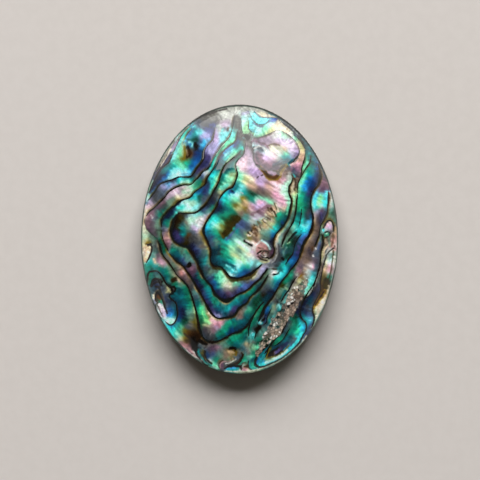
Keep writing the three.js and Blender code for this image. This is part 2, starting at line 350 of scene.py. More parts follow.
# The patches of colour between the growth lines, group by group over the stone: the colour, its reach, and
# the place or the run of places that it holds. Each blends into its neighbours about halfway between them.
PEARL_PATCHES = (
    # the upper left edge and the bands just inside it
    ("pale grey", .2, -7.5, 10.6, -8, 9.9), ("ice", .25, -6.6, 11.5), ("lilac", .25, -7.3, 10.1),
    ("pale cyan", .2, -7.45, 9.6), ("violet", .3, -7.7, 9.2, -8.4, 8.4),
    ("pale cyan", .2, -6.85, 10.2, -7.2, 9.4), ("turquoise", .16, -6.3, 11.5),
    ("mint", .25, -6.5, 10.1, -6.5, 9.3), ("straw", .2, -6.2, 10.4, -6.2, 9.2),
    ("brown", .35, -5.6, 9.8, -5.7, 9.15), ("olive", .3, -6.2, 8.75), ("green", .35, -5.8, 8.3),
    ("blue", .3, -5.6, 11.5), ("sky", .3, -5.8, 11.1), ("slate", .25, -5.5, 10.95),
    ("pale cyan", .2, -5.35, 10.5), ("blue", .25, -5.65, 10.3), ("sea", .3, -5.1, 11.6),
    ("pale cyan", .28, -4.6, 11.7), ("slate blue", .22, -4.4, 10.8), ("slate", .3, -4.3, 12.7, -3.6, 12.9),
    ("slate blue", .3, -3.3, 12.3), ("dark green", .3, -4.9, 11), ("black", .25, -4.85, 10.3),
    ("lavender", .28, -4.3, 11.2, -3.6, 11.5), ("sky", .2, -4, 10.6),
    ("deep blue", .35, -4.4, 9.3, -4.5, 8.9), ("indigo", .3, -4.85, 9.3), ("blue", .3, -4.9, 8.5),
    ("deep blue", .3, -5.3, 8), ("sky", .3, -5.7, 7.5), ("ice", .38, -6, 7.25), ("ice", .3, -7.2, 7.1),
    ("mint", .3, -6.2, 7.9, -6.9, 8.3), ("pale cyan", .25, -7.5, 7.3, -6.5, 7.6), ("sky", .2, -7, 7.3),
    ("sea", .25, -8.5, 7.45, -7.6, 7.9, -7, 8.1), ("navy", .3, -8.3, 7.1, -8.8, 6.8),
    ("navy", .3, -9.3, 6.2, -9.7, 5.6), ("blue", .25, -8.3, 6.8, -7.9, 7.3), ("blue", .2, -9.6, 5.4),
    ("frost", .25, -10.05, 4.7), ("ice", .2, -10.2, 4.4),
    # the bands that run from the top down the left side
    ("pale grey", .3, -2.1, 12.1), ("lilac", .3, -2.6, 11.2), ("lavender", .3, -3.1, 10.1),
    ("lavender", .3, -3.4, 9.7), ("violet", .3, -3.6, 9), ("indigo", .3, -3.8, 8.4),
    ("violet", .3, -4.6, 7.6), ("slate", .3, -4.8, 7.2), ("pale cyan", .25, -2, 11.6, -1.7, 11.4),
    ("pale cyan", .25, -.8, 11.5), ("mint", .3, -1, 10.9, -1.4, 10.6), ("green", .3, -1.8, 10.1, -2.2, 9.5),
    ("turquoise", .25, -2.6, 8.9, -2.9, 8.4), ("sea", .25, -3.3, 7.9), ("white", .25, -3.7, 7.3),
    ("slate blue", .25, -4.1, 6.9), ("emerald", .3, -4.6, 6.2), ("green", .3, -5.1, 5.7),
    ("olive", .25, -4.1, 6.2), ("periwinkle", .25, -.6, 10.5, -1.2, 10.1, -1.8, 9.3),
    ("sky", .25, -1.5, 9.1), ("pale cyan", .25, -.9, 9.8), ("mint", .25, -.6, 9.6), ("sea", .25, -.3, 10.1),
    ("teal", .3, -1.7, 8.5, -2.2, 7.9), ("cyan", .35, -2.9, 7), ("mint", .25, -2.6, 6.6),
    ("straw", .25, -2.45, 6.3), ("turquoise", .25, -2.9, 6), ("indigo", .3, -3.6, 5.6, -3.9, 5.2),
    ("blue", .3, -4.5, 5.1), ("dark green", .3, -4.5, 4.5), ("cyan", .35, -5, 4.6),
    ("frost", .4, -5.2, 3.9), ("ice", .42, -6.1, 3.9), ("turquoise", .3, -6.35, 3.5),
    ("ice", .3, -5.6, 3.4), ("frost", .25, -5.8, 3.05), ("slate", .3, -4, 4.3),
    ("pale cyan", .3, -4.9, 3.6), ("indigo", .25, -6.9, 3.8), ("grey teal", .28, -.9, 8.6, -1.5, 9.2),
    ("sea", .22, -1, 8.1), ("teal", .3, -1.2, 7.7), ("sea", .25, -1.7, 7, -1.9, 6.6),
    ("green", .25, -2.1, 6.2), ("mint", .25, -1.4, 6.9), ("straw", .25, -1, 7), ("brown", .13, -.9, 5.9),
    ("frost", .32, -1.6, 5.7), ("mint", .25, -1.1, 6.6), ("straw", .2, -1.9, 5.3), ("smoke", .3, -2.7, 4.5),
    ("indigo", .3, -3, 4.1), ("green", .25, -3, 3.6), ("grey teal", .25, -3.5, 3.2),
    ("violet", .25, -4.1, 3.2), ("slate blue", .25, -3.9, 3.3), ("plum", .25, -7.5, 6.35),
    ("sky", .2, -7.7, 6.15), ("lavender", .2, -8.4, 5.7), ("slate", .3, -8.8, 5), ("smoke", .3, -9.3, 4.5),
    ("lilac", .2, -10.05, 4), ("pale pink", .22, -10.25, 3.5), ("cream", .22, -10.4, 3),
    ("teal", .15, -10.5, 4), ("cyan", .25, -6.7, 6.5), ("frost", .25, -6.2, 6.3, -5.7, 6.3),
    ("sea", .25, -5.3, 6.5), ("blue", .25, -5.4, 6.9), ("pale lilac", .25, -6.8, 5.3),
    ("lavender", .25, -7.3, 6.0), ("pale pink", .25, -6.2, 5.6), ("white", .38, -6.1, 5.5),
    ("ivory", .38, -5.6, 5.45), ("mint", .25, -5.3, 5.75), ("white", .28, -6.2, 5.1),
    ("dove", .25, -7.5, 4.9, -7.7, 4.7), ("pale pink", .2, -7.2, 5.2), ("cream", .25, -6.6, 4.65),
    ("ivory", .3, -6, 5), ("olive", .22, -6.9, 4.2), ("grey green", .3, -7.6, 4.2),
    ("mauve", .3, -8.5, 3.9), ("smoke", .3, -8.3, 3.7),
    # the left side at half height
    ("plum", .3, -9.05, 3.5), ("grey teal", .25, -9.1, 2.9), ("mauve", .35, -9.9, 2.6),
    ("pale lilac", .12, -9.75, 2.45), ("mauve", .35, -10.15, 1.8), ("plum grey", .35, -9.7, 1.6),
    ("grey green", .3, -9.2, 1.55, -9.05, 1.9), ("slate", .25, -9.4, 2.25),
    ("emerald", .22, -8.9, 2.6, -8.6, 3.1), ("grey green", .25, -7.95, 3.75), ("plum", .3, -9.9, 1),
    ("plum grey", .3, -9.5, .6), ("grey green", .25, -9, .6), ("grey green", .25, -9.7, -.15),
    # The ivory and frost patches along the left rim on this line are a painted reflection of the pale board
    # in the steep polish.
    ("ivory", .16, -10.62, 1.3, -10.6, .5), ("frost", .18, -10.6, .3), ("ivory", .18, -10.45, -.3),
    ("tan", .15, -10.6, 2), ("navy", .3, -7.6, 3.1, -8, 2.6), ("green", .22, -8.05, 1.9, -7.95, 1.6),
    ("teal", .22, -8.25, 1.8), ("slate", .25, -8.4, 1.15), ("lilac", .2, -8.3, .85),
    ("taupe", .25, -8.15, .6), ("dusky rose", .25, -8.1, .2), ("tan", .2, -7.85, .45),
    ("pink", .18, -7.85, -.25), ("mauve", .22, -8, -.55), ("grey green", .25, -7.3, -.65),
    ("emerald", .25, -7.4, -1.05), ("teal", .35, -7, -1.6), ("deep teal", .3, -6.9, -2),
    ("grey green", .3, -6.3, -1.3), ("green", .22, -5.75, -1.5), ("grey teal", .35, -5.8, -2.05),
    ("slate blue", .28, -6.3, -2.35), ("grey teal", .3, -5.2, -2.4), ("plum", .22, -5.2, -2.85),
    ("mauve", .25, -5.2, -3.2), ("plum", .25, -5.2, -3.7), ("emerald", .22, -8.6, -.7),
    ("dark green", .22, -8.9, -.3), ("gold", .2, -10.25, -.4), ("smoke", .25, -9.3, -.8),
    ("grey", .22, -8.95, -1), ("grey green", .15, -9.62, -.5), ("grey teal", .3, -9.4, -1.3),
    ("grey teal", .3, -9.65, -1.8), ("sand", .2, -10.3, -.88, -10, -.85), ("peach", .2, -10.35, -1.3),
    ("cream", .18, -10.15, -1.3, -10.15, -1.75), ("pale grey", .15, -10.62, -1.5),
    ("tan", .15, -10.5, -2.2), ("plum grey", .22, -9, -1.7), ("pale cyan", .14, -10.08, -2.45),
    ("sea", .25, -9.9, -2.8), ("emerald", .3, -9.95, -3.15), ("teal", .25, -9.4, -3.2),
    ("sand", .14, -9.42, -2.3, -9.25, -2.75), ("pink", .16, -8.8, -2.3, -8.5, -2.65),
    ("mauve", .2, -9.05, -2.2), ("grey", .25, -8.6, -2.95), ("emerald", .3, -8.9, -3.3),
    ("teal", .28, -8.5, -3.6), ("emerald", .28, -8, -3.8), ("teal", .3, -8.15, -4.3),
    ("grey green", .25, -7.6, -3.6), ("grey teal", .2, -7.85, -4.75),
    # inside the bean on the left and along the line round the middle
    ("umber", .3, -6.85, 2.45), ("dark olive", .3, -6.4, 2.3), ("umber", .3, -7.1, 1.8),
    ("dark olive", .25, -6.85, 1.3), ("violet", .28, -7.1, .75, -6.9, .3), ("indigo", .28, -7.3, .8),
    ("indigo", .3, -6.6, -.1), ("sea", .28, -6.3, 1.15, -6.2, .7), ("slate teal", .25, -6.4, 1.6),
    ("taupe", .22, -5.9, 1.8), ("grey green", .25, -5.75, 1.2), ("brown", .25, -5.6, .3),
    ("smoke", .25, -5.35, -.1), ("dark olive", .25, -5.8, -.5), ("navy", .28, -5.2, -.9),
    ("slate blue", .2, -5.85, 2.4), ("frost", .4, -5.4, 2.15), ("ice", .3, -5.1, 2.5),
    ("frost", .3, -4.6, 2.65), ("turquoise", .18, -4.35, 2.85), ("cyan", .18, -4.3, 3.05),
    ("white", .4, -4.3, 2.1), ("pale lilac", .3, -4.5, 1.6), ("lilac", .25, -5, 1.25),
    ("frost", .25, -4.75, 1.5), ("lilac", .2, -3.75, 2.35), ("cream", .16, -3.65, 2.15, -3.9, 1.5),
    ("lilac", .25, -4.75, .9), ("slate", .28, -5.05, .6), ("smoke", .28, -4.9, .1), ("grey", .28, -4.5, .1),
    ("slate", .3, -4.35, -.35), ("taupe", .25, -4.15, -.85), ("cream", .12, -4.35, .92),
    ("gold", .22, -4.2, .55, -4, .1), ("straw", .12, -4.35, .2, -3.95, -.4, -3.6, -1, -3.45, -1.6),
    ("olive", .16, -3.85, .05, -3.5, -.75, -3.3, -1.2), ("indigo", .3, -4.9, -1.25),
    ("slate blue", .28, -4.5, -1.35), ("grey teal", .28, -4.15, -1.4), ("slate teal", .25, -4.2, -2),
    ("sea", .25, -3.9, -2.4), ("deep teal", .25, -4.35, -2.7), ("grey green", .2, -3.5, -2.5),
    ("slate", .3, -3.75, -3.2), ("grey green", .3, -3.4, -3.6), ("slate teal", .28, -3.85, -4.1),
    ("slate blue", .28, -3.2, -4.45), ("green", .22, -2.5, -4.4), ("mint", .16, -2.25, -4.2),
    ("mint", .2, -2, -4.7), ("ivory", .22, -1.7, -5, -1.2, -5.15), ("pale green", .2, -1.95, -5.05),
    ("blue", .28, -2.75, -5), ("sea", .25, -2.35, -5.25), ("grey", .28, -1.4, -5.55),
    ("slate blue", .28, -2, -5.9), ("plum", .28, -1.3, -6.05), ("indigo", .28, -1.7, -6.35),
    ("indigo", .28, -2.35, -5.85), ("sand", .15, -1.05, -4.85), ("mint", .2, -.5, -4.9, -.15, -5),
    ("sea", .2, .1, -5.25), ("grey", .28, -.5, -5.45), ("slate", .25, .4, -4.85), ("grey", .22, .8, -4.6),
    ("straw", .18, 1.75, -3.7, 1.4, -4.2), ("pale lilac", .22, 2.65, -2.9), ("lavender", .25, 2.55, -3.3),
    ("lavender", .25, 2.2, -3.6), ("pale grey", .25, 2.05, -3.9), ("slate blue", .25, 1.9, -4.45),
    ("periwinkle", .25, 1.25, -4.8, .7, -5.15), ("periwinkle", .22, .35, -5.4, -.05, -5.65),
    ("violet", .22, -.45, -5.75),
    # the heart of the stone, left half
    ("azure", .25, -3.7, 1.1), ("cyan", .25, -3.45, 1.5), ("sea", .2, -3.15, 1.6),
    ("ice", .22, -2.95, 1.85), ("turquoise", .3, -2.85, 2.3), ("cyan", .25, -2.55, 2.1),
    ("frost", .25, -2.6, 1.5), ("pale green", .22, -2.3, 1.3), ("green", .22, -2.65, .95),
    ("green", .25, -2.5, .4), ("sea", .22, -2.8, .35), ("teal", .25, -3.3, .65),
    ("slate blue", .3, -3.15, .1), ("slate", .3, -3, -.5), ("deep teal", .3, -2.8, -1.3),
    ("smoke", .22, -2.25, -.9, -2.3, -1.6), ("emerald", .25, -2.15, 0), ("grey green", .2, -2.5, -.3),
    ("navy", .3, -2.35, 3.25), ("deep teal", .3, -1.9, 3.15), ("teal", .3, -1.6, 3.5),
    ("emerald", .3, -1, 3.1), ("green", .28, -1.5, 2.7), ("dark green", .22, -1.75, 2.25),
    ("green", .25, -2.15, 2.4), ("mint", .2, -1.85, 1.8), ("olive", .22, -1.95, 1.4),
    ("dark olive", .3, -.3, 2.25, -1, 1.85), ("dark olive", .2, -1.9, .6, -1.6, .35),
    ("olive", .15, -2.15, .9), ("dark olive", .28, -1.25, 1.6, -1.3, .5), ("olive", .2, -.95, 1.15),
    ("slate blue", .25, -.2, 1.6), ("slate blue", .25, .1, 1.9), ("sea", .3, -.4, 1), ("sky", .1, -.8, .75),
    ("blue", .2, -1.1, .35), ("azure", .15, -1.35, 0), ("grey teal", .28, -.5, .4), ("sea", .3, -1.3, -.4),
    ("grey teal", .25, -.9, 0), ("emerald", .3, -1.75, -1), ("pale green", .22, -1.2, -.95),
    ("mint", .22, -.95, -.5), ("emerald", .3, -1.8, -1.8), ("green", .25, -1.4, -1.5),
    ("teal", .3, -2.1, -2.2), ("deep teal", .3, -2.6, -2.6), ("deep teal", .2, -1.5, -2.75),
    ("turquoise", .15, -1.1, -2.3, -.7, -2.55), ("emerald", .18, -1.4, -2, -.9, -2.15),
    ("turquoise", .14, -1.45, -2.95, -1.15, -3.15), ("deep teal", .15, -1.2, -2.75, -.7, -3.2),
    ("cyan", .14, -.9, -3.35, -.4, -3.6), ("teal", .14, -1.2, -3.4, -.5, -3.85),
    ("ice", .25, -.95, -3.85, -.7, -4), ("blue", .2, -.1, -3.95), ("ice", .3, -.15, -2.9),
    ("frost", .25, .1, -2.55), ("mint", .2, -.5, -2.25), ("pale green", .25, -.7, -1.4),
    ("grey green", .18, -.3, -1.6, 0, -1.9), ("frost", .3, .45, -1.85),
    ("straw", .22, -.55, -1.75, -.2, -2.1), ("pale green", .3, .4, -2.35), ("ice", .3, 1, -2.4),
    ("pale cyan", .28, 1.35, -2.7), ("green", .25, .8, -3.1), ("sea", .25, .2, -3.25),
    ("grey teal", .25, 1.75, -2.75), ("pale cyan", .2, 2.15, -2.8), ("slate", .25, 1.5, -3.35),
    ("deep blue", .28, .5, -3.6), ("indigo", .25, .95, -3.8), ("azure", .18, .1, -3.9),
    ("cyan", .25, -1.65, 4.9), ("pale cyan", .25, -1, 4.6), ("blue", .2, -.9, 5.3), ("sea", .25, -.4, 5.7),
    ("mint", .25, -.6, 4.4), ("green", .28, -1.3, 3.8), ("turquoise", .25, -1.6, 4.3),
    ("indigo", .25, -2.3, 3.8), ("pale cyan", .25, .1, 5.6), ("ice", .25, -.3, 4.95), ("sea", .22, .4, 5.2),
    ("olive", .22, -.45, 3.75), ("olive", .22, .3, 4.5),
    # the heart of the stone, right half
    ("tan", .28, .6, 3.85), ("olive", .22, .7, 3.35), ("straw", .25, -.1, 3.45), ("taupe", .28, .2, 2.95),
    ("taupe", .22, 1, 3.1), ("pale pink", .2, 1.35, 3.2), ("pink", .25, 1.6, 3.5), ("lilac", .28, 2, 3.6),
    ("lilac", .25, 2.5, 3.8), ("mauve", .14, 2.1, 3.25, 2.9, 3.55), ("mauve", .25, 2.3, 2.95),
    ("taupe", .22, 3.1, 3.15), ("taupe", .22, 3.6, 3.2), ("grey", .25, 1.6, 2.8), ("sea", .12, .7, 2.3),
    ("grey teal", .3, .75, 2.35), ("pale grey", .2, 1.35, 2), ("pale lilac", .2, 1.75, 2.3),
    ("pale lilac", .22, 2.25, 2.55), ("grey teal", .22, 2.1, 1.8), ("frost", .2, 2.55, 2.25),
    ("olive", .2, 2.7, 1.8), ("straw", .2, 3.5, 1.7), ("cream", .2, 3.35, 2.05), ("sand", .18, 3.4, 2.85),
    ("brown", .18, 3.7, 2.55), ("green", .25, 4.4, 2.6), ("emerald", .25, 4.5, 2.2),
    ("teal", .22, 4.9, 2.2), ("navy", .2, 4.65, 1.75), ("slate blue", .3, .35, 1.4),
    ("slate", .3, .85, 1.25), ("slate", .3, .4, .8), ("grey green", .28, .8, .5), ("brown", .25, 1.9, .85),
    ("taupe", .28, 1.75, .2), ("tan", .2, 2.15, .4), ("olive", .22, 1.2, .25), ("tan", .25, 2.9, 1.3),
    ("grey green", .28, 2.6, .9), ("grey teal", .28, 3.1, .5), ("grey green", .25, 2.95, .1),
    ("cyan", .22, 4.05, 1.1), ("sea", .22, 4.15, .85), ("turquoise", .18, 3.95, 1.35),
    ("blue", .22, 3.7, .5), ("navy", .3, 3.45, -.1), ("smoke", .2, 3.6, -.6), ("frost", .3, .35, -.75),
    ("frost", .28, -.1, -.35), ("white", .25, 1.3, -.95), ("white", .2, 1.6, -.65),
    ("frost", .3, .75, -1.15), ("straw", .2, 0, -1, .4, -1.25), ("grey teal", .25, -.15, -1.3),
    ("pale lilac", .28, 1.4, -1.4), ("cream", .28, 1.05, -1.75), ("mist", .22, 1.6, -2.2),
    ("dusky rose", .4, 2.3, -.85), ("dusky rose", .35, 1.85, -1.3), ("taupe", .3, 2.8, -1.6),
    ("dusky rose", .3, 2.75, -.9), ("mauve", .3, 2.2, -1.9), ("plum", .28, 3.6, -1.4),
    ("taupe", .25, 3.2, -1.3), ("grey", .2, 2.5, -2.15), ("straw", .18, 2.7, -2.4, 3.1, -2.4),
    ("tan", .22, 4, 0), ("cream", .14, 4.05, .15, 4.4, .65), ("pale green", .2, 4.65, 1.05),
    ("grey teal", .2, 4.4, .1, 4.5, -.4), ("plum grey", .3, 4.3, -1.1), ("smoke", .3, 4.3, -2),
    ("slate teal", .25, 4.85, -1.5), ("pale grey", .2, 4.0, -.6), ("lavender", .16, 3.2, -2.55, 3.6, -2.3),
    ("smoke", .22, 3.3, -2.75), ("grey green", .2, 2.65, -2.65),
    # the pink field above the heart
    ("pale pink", .35, .5, 8.4), ("dove", .35, 1, 8.4), ("dove", .35, 1.3, 8.7), ("lilac", .35, 1.7, 7.4),
    ("pale pink", .3, .3, 7.8), ("lilac", .3, 1.2, 7.7), ("mint", .28, .1, 7.1), ("straw", .3, .7, 6.6),
    ("cream", .3, 1.2, 6.5), ("peach", .35, 1.4, 5.9), ("lilac", .35, 2.4, 6.2), ("mauve", .25, 3.1, 6.05),
    ("dusky rose", .3, 4.3, 6.5), ("pink", .25, 4.9, 6.6), ("pale pink", .35, 4.2, 5.8),
    ("pink", .28, 4, 4.9), ("frost", .3, 4.9, 5.35, 5.2, 6.2), ("frost", .3, 5.2, 5, 5.35, 4.2),
    ("mist", .2, 5.2, 7), ("pink", .35, 4.6, 4.3, 5, 4), ("peach", .3, 5, 3.4), ("green", .22, 5.3, 3.4),
    ("emerald", .22, 5.2, 2.9), ("taupe", .28, 1.6, 5.55, 3.2, 5), ("dark green", .25, 1.5, 5),
    ("emerald", .28, 1.4, 4.4), ("mint", .14, 1.9, 4.3, 2.4, 4.5, 2.9, 4.4, 3.4, 4), ("pink", .28, 2.3, 4),
    ("grey green", .12, 3, 4.8, 3.5, 4.4, 3.9, 3.8, 4.3, 3.4), ("tan", .22, 3.9, 3.3),
    ("pale pink", .25, 4.3, 3.8), ("pale lilac", .3, 2.9, 7.0), ("dove", .3, .9, 9.6),
    ("grey", .28, 1.1, 10.3), ("grey", .12, .85, 11), ("taupe", .22, 5, 7.2), ("peach", .28, 3.3, 5.9),
    ("pale pink", .28, 3.7, 6.1), ("mauve", .2, 2.2, 5.65), ("plum grey", .22, 2.6, 5.3),
    # the round island at the upper right
    ("dove", .28, 2.4, 10.8), ("dove", .28, 3.2, 11), ("pale lilac", .3, 4.3, 10.9, 4.8, 10.5),
    ("mist", .25, 4, 11.5), ("frost", .25, 4.8, 11.5), ("pale lilac", .25, 5.6, 10.7),
    ("pale lilac", .25, 5.9, 9.9), ("lilac", .25, 6.1, 9.2), ("ivory", .3, 3.7, 10.1, 4.4, 9.9),
    ("mint", .22, 5.2, 9.5), ("mauve", .16, 2, 10.65, 2.8, 10.5, 3.1, 10.2),
    ("mauve", .14, 3.8, 10.5, 4.3, 10.5), ("ice", .15, 1.8, 10.1, 2.2, 10.28, 2.7, 10.1),
    ("ice", .14, 3.1, 9.6), ("slate teal", .12, 2.3, 9.95, 2.5, 9.8), ("pale pink", .28, 3.5, 9.3),
    ("sea", .25, 5, 9.1), ("teal", .25, 5.4, 8.9, 5.8, 8.6), ("plum grey", .2, 2.2, 9.1),
    ("smoke", .2, 4.1, -6.9), ("smoke", .14, 1.9, 5.4, 2.7, 5.15), ("deep teal", .2, 5.2, -5.7),
    ("smoke", .18, 4, -2.9), ("pale lilac", .2, -4.4, 1.3), ("mauve", .35, 2.1, 9.1, 2.7, 8.4),
    ("lilac", .25, 2.9, 9), ("plum grey", .22, 4, 8.15), ("grey", .18, 4.6, 8.4), ("mauve", .25, 3.3, 8.1),
    ("mauve", .25, 2.1, 8.8), ("mauve", .28, 3, 7.9), ("dove", .25, 3.6, 7.4), ("plum", .2, 3.95, 7.6),
    ("pale pink", .2, 4.25, 7.2), ("peach", .25, 5, 9.9), ("grey", .2, 4.6, 8.8), ("mist", .25, 4.3, 9.5),
    # above the island, between the fans of the top edge
    ("ice", .2, .45, 13.2), ("pale green", .22, .65, 12.3), ("grey", .25, -.2, 12.6),
    ("grey", .25, .15, 11.5), ("grey", .2, -.45, 13.2), ("pale cyan", .25, 1.4, 12.9, 1.3, 12.5),
    ("pale cyan", .18, 1.5, 13.7, 1.9, 13.2), ("pale cyan", .22, 2.9, 13.2), ("cream", .22, 2.6, 13.85),
    ("ice", .25, 2.2, 12.3), ("mint", .25, 2.8, 12.3), ("frost", .25, 3.4, 12.6), ("cream", .28, 4.2, 12.4),
    ("straw", .22, 3.5, 12.15), ("periwinkle", .2, 3.55, 13.2), ("cream", .25, 4.5, 12.3, 5.2, 11.95),
    ("white", .22, 5.7, 11.6), ("mint", .2, 6.2, 11.2), ("straw", .25, 6.7, 10.6, 6.95, 10.1),
    ("peach", .22, 6.9, 9.4, 6.75, 8.8), ("pink", .22, 6.6, 8.4, 6.5, 8), ("plum", .22, 6.3, 7.75),
    ("slate", .22, 6.2, 7.3), ("taupe", .22, 6.2, 6.4, 6.2, 5.9), ("straw", .2, 6.1, 5.1),
    ("cream", .26, 5.75, 6, 5.6, 5.2), ("mint", .2, 5.95, 4.4, 6, 4), ("pale green", .18, 5.9, 3.6),
    ("grey teal", .2, 5.8, 2.7), ("grey teal", .22, 5.6, 2),
    ("slate", .25, 5.2, 12.8, 5.8, 12.3, 6.4, 11.7), ("pale grey", .3, -.5, 14.2, -1.8, 13.6),
    ("dove", .3, -1.6, 12.8), ("pale grey", .25, .9, 14.3, 3.2, 14.1), ("grey", .3, -2.6, 13.4, -3.8, 13.2),
    # the bands down the right side
    ("teal", .3, 7.3, 10.6, 7.6, 9.8), ("mint", .12, 7.4, 9.3, 7.28, 8.3), ("emerald", .25, 8.15, 8.4),
    ("green", .25, 7.8, 7.8), ("blue", .25, 8.5, 8.4), ("mint", .12, 7.15, 7.1, 6.95, 6.6, 6.65, 6),
    ("mint", .1, 6.6, 5.5, 6.55, 5), ("sea", .25, 7.8, 7.3), ("blue", .3, 7.9, 6.6),
    ("azure", .28, 7.2, 5.7), ("deep blue", .3, 8.3, 6.5, 8, 6), ("indigo", .25, 7.9, 5.5),
    ("violet", .22, 7.6, 5), ("green", .25, 6.9, 5), ("bright green", .28, 6.65, 4, 6.6, 3.5),
    ("teal", .28, 7.4, 4.3), ("emerald", .25, 7.35, 3.8), ("slate", .22, 7.65, 3.7),
    ("plum grey", .28, 7.6, 3), ("green", .2, 7.1, 3.2), ("teal", .22, 6.55, 2.65),
    ("turquoise", .25, 6.3, 1.85), ("frost", .18, 6.15, 1.45), ("sea", .2, 6.55, 1.95),
    ("ice", .2, 7.02, 1.55), ("cyan", .25, 6.8, 1.2), ("sea", .22, 6.55, .9), ("turquoise", .2, 7, 1.95),
    ("teal", .2, 7.2, 1.8), ("smoke", .2, 7.45, 2.4), ("blue", .18, 7.85, 2.55), ("sky", .2, 7.72, 2.1),
    ("pale cyan", .2, 7.5, 1.45), ("azure", .18, 7.7, 1.1), ("cyan", .18, 7.2, .75),
    ("azure", .2, 6.95, .3), ("periwinkle", .22, 7.1, 0), ("periwinkle", .22, 6.85, -.5),
    ("slate teal", .25, 6.5, -.7), ("violet", .25, 6.6, -1.3), ("indigo", .22, 6.3, -1.8),
    ("blue", .25, 6.05, -2.2), ("azure", .22, 5.75, -2.4), ("sea", .22, 5.3, -2.9),
    ("cyan", .2, 5.05, -3.2), ("deep blue", .22, 5.6, -3.15), ("cyan", .22, 4.95, -3.65),
    ("pale cyan", .22, 4.6, -3.75, 4.4, -4), ("grey teal", .25, 5.35, 1.35), ("slate", .25, 4.9, .6),
    ("pale green", .14, 5.4, -.4), ("grey green", .28, 5.1, .2, 5.6, .6), ("smoke", .28, 6.1, .1),
    ("dark green", .25, 5.8, -.2), ("dark green", .25, 5.3, -.8), ("slate teal", .22, 5.6, -1.2),
    ("slate teal", .25, 5, -1.3), ("dark green", .22, 5.3, -1.9), ("cyan", .18, 4.75, -2.75),
    ("sea", .2, 4.5, -3.1), ("black", .18, 4.6, -3.35), ("slate", .28, 9.1, 8.5, 9.4, 7.5),
    ("mauve", .25, 9.3, 6.3), ("plum", .25, 9.2, 5.6), ("mauve", .22, 9.8, 6), ("sky", .28, 8.3, 4.6),
    ("sky", .28, 9.6, 5.1), ("cyan", .25, 9.45, 3.85), ("pale cyan", .22, 8.15, 3.65),
    ("cyan", .2, 8.35, 3.9), ("lime", .22, 8.75, 3.75, 9, 4.5), ("pale green", .2, 8.9, 3.95),
    ("sea", .2, 8.5, 3.5), ("pale grey", .16, 9.2, 3.55), ("pale pink", .2, 8.3, 2.75),
    ("sand", .2, 8.22, 2.1), ("lilac", .2, 8.5, 3.1), ("plum", .28, 9.1, 3), ("indigo", .28, 9.1, 2.45),
    ("plum grey", .25, 8.55, 2.3), ("taupe", .28, 8.4, 1.4), ("taupe", .28, 8.35, .8),
    ("grey", .25, 8.2, .2), ("plum grey", .25, 8.5, -.1), ("taupe", .28, 7.95, -.15),
    ("plum grey", .3, 7.6, -1.4), ("brown", .22, 8, -1.1), ("taupe", .3, 7.2, -1.5),
    ("taupe", .3, 7.5, -2.5), ("tan", .12, 8.1, 1.3, 7.85, .5, 7.4, -.45), ("plum grey", .3, 7, -3.1),
    ("mauve", .28, 6.6, -3.6), ("tan", .16, 7.35, -3.3), ("grey", .2, 7.6, -3), ("mist", .14, 8.45, -1.05),
    ("slate blue", .25, 8.8, -.9), ("slate", .3, 8.6, -1.6), ("plum grey", .28, 8.45, -2.4),
    ("slate", .28, 8.6, -3.1), ("slate", .25, 8.2, -3.6), ("white", .2, 7.85, -3),
    ("pink", .22, 8.08, -3.1), ("ice", .2, 9.3, 1), ("grey teal", .22, 9.05, .5), ("pink", .25, 9.75, 1.5),
    ("lilac", .28, 10.1, 1.4), ("cream", .14, 10.05, 1.85), ("grey", .22, 10.1, .85),
    ("taupe", .22, 10.25, .3), ("grey teal", .12, 9.75, .95), ("green", .16, 9.55, .5),
    ("dark olive", .18, 9.3, .25), ("umber", .16, 9.92, .5), ("taupe", .2, 9.45, -.1),
    ("taupe", .2, 9.8, -.5), ("straw", .12, 9.5, -.85, 9.25, -1.25, 9.12, -1.75),
    ("smoke", .2, 9.65, -1.35), ("pale grey", .14, 9.6, -1.85, 9.9, -1.5),
    ("dusky rose", .2, 10.45, -.1, 10.4, -.9), ("tan", .18, 10.6, .6), ("mist", .12, 10.68, -.6),
    ("grey teal", .22, 10.2, -1.8), ("mist", .14, 10.25, -1.4), ("grey teal", .22, 10.2, 3.2),
    ("mist", .16, 10.1, 3.7, 10, 4.6), ("dark green", .2, 10.4, 3), ("grey green", .2, 10.1, 2.5),
    ("olive", .2, 9.6, 2.3),
    # the lower right: the pale slivers at the rim, the cyan fan and the bands down to it
    ("ice", .22, 10.05, -2.4), ("pale lilac", .22, 10.05, -2.8), ("rose", .2, 9.88, -3.2),
    ("pink", .22, 9.95, -3.6), ("sand", .2, 9.6, -3.4), ("tan", .18, 9.4, -3.8), ("straw", .16, 9.65, -2.6),
    ("mist", .14, 9.8, -3.85), ("emerald", .22, 9.9, -4.25), ("olive", .22, 9.3, -4.2),
    ("umber", .28, 9.6, -4.9), ("umber", .22, 9.4, -5.4), ("gold", .25, 9.45, -5.9),
    ("gold", .2, 9.15, -6.2), ("cream", .22, 9.2, -6.75), ("peach", .22, 8.85, -7.35),
    ("white", .18, 9, -7.65), ("frost", .22, 8.65, -8.05), ("grey teal", .18, 8.6, -8.6),
    ("cream", .15, 8.4, -7.9), ("gold", .16, 8.75, -6.4, 8.25, -7.3), ("olive", .16, 8.15, -7.85),
    ("grey green", .18, 8.4, -9), ("taupe", .16, 8.2, -9.7), ("ivory", .12, 10.6, -2, 10.55, -2.6),
    ("grey", .14, 10.45, -3.4), ("taupe", .2, 8.95, -3.3, 8.7, -4), ("grey green", .16, 8.6, -4.5),
    ("indigo", .25, 8.85, -5.5), ("plum grey", .25, 8.3, -5.4), ("navy", .28, 8.5, -6.1),
    ("deep teal", .28, 7.9, -6.8), ("navy", .25, 7.35, -7), ("smoke", .25, 7.6, -7.6),
    ("indigo", .25, 7.4, -8.3), ("slate blue", .25, 7.9, -8.5), ("sea", .2, 7.25, -8.9),
    ("cyan", .2, 7.5, -9), ("pale cyan", .22, 7.95, -9.08), ("turquoise", .18, 7.55, -9.35),
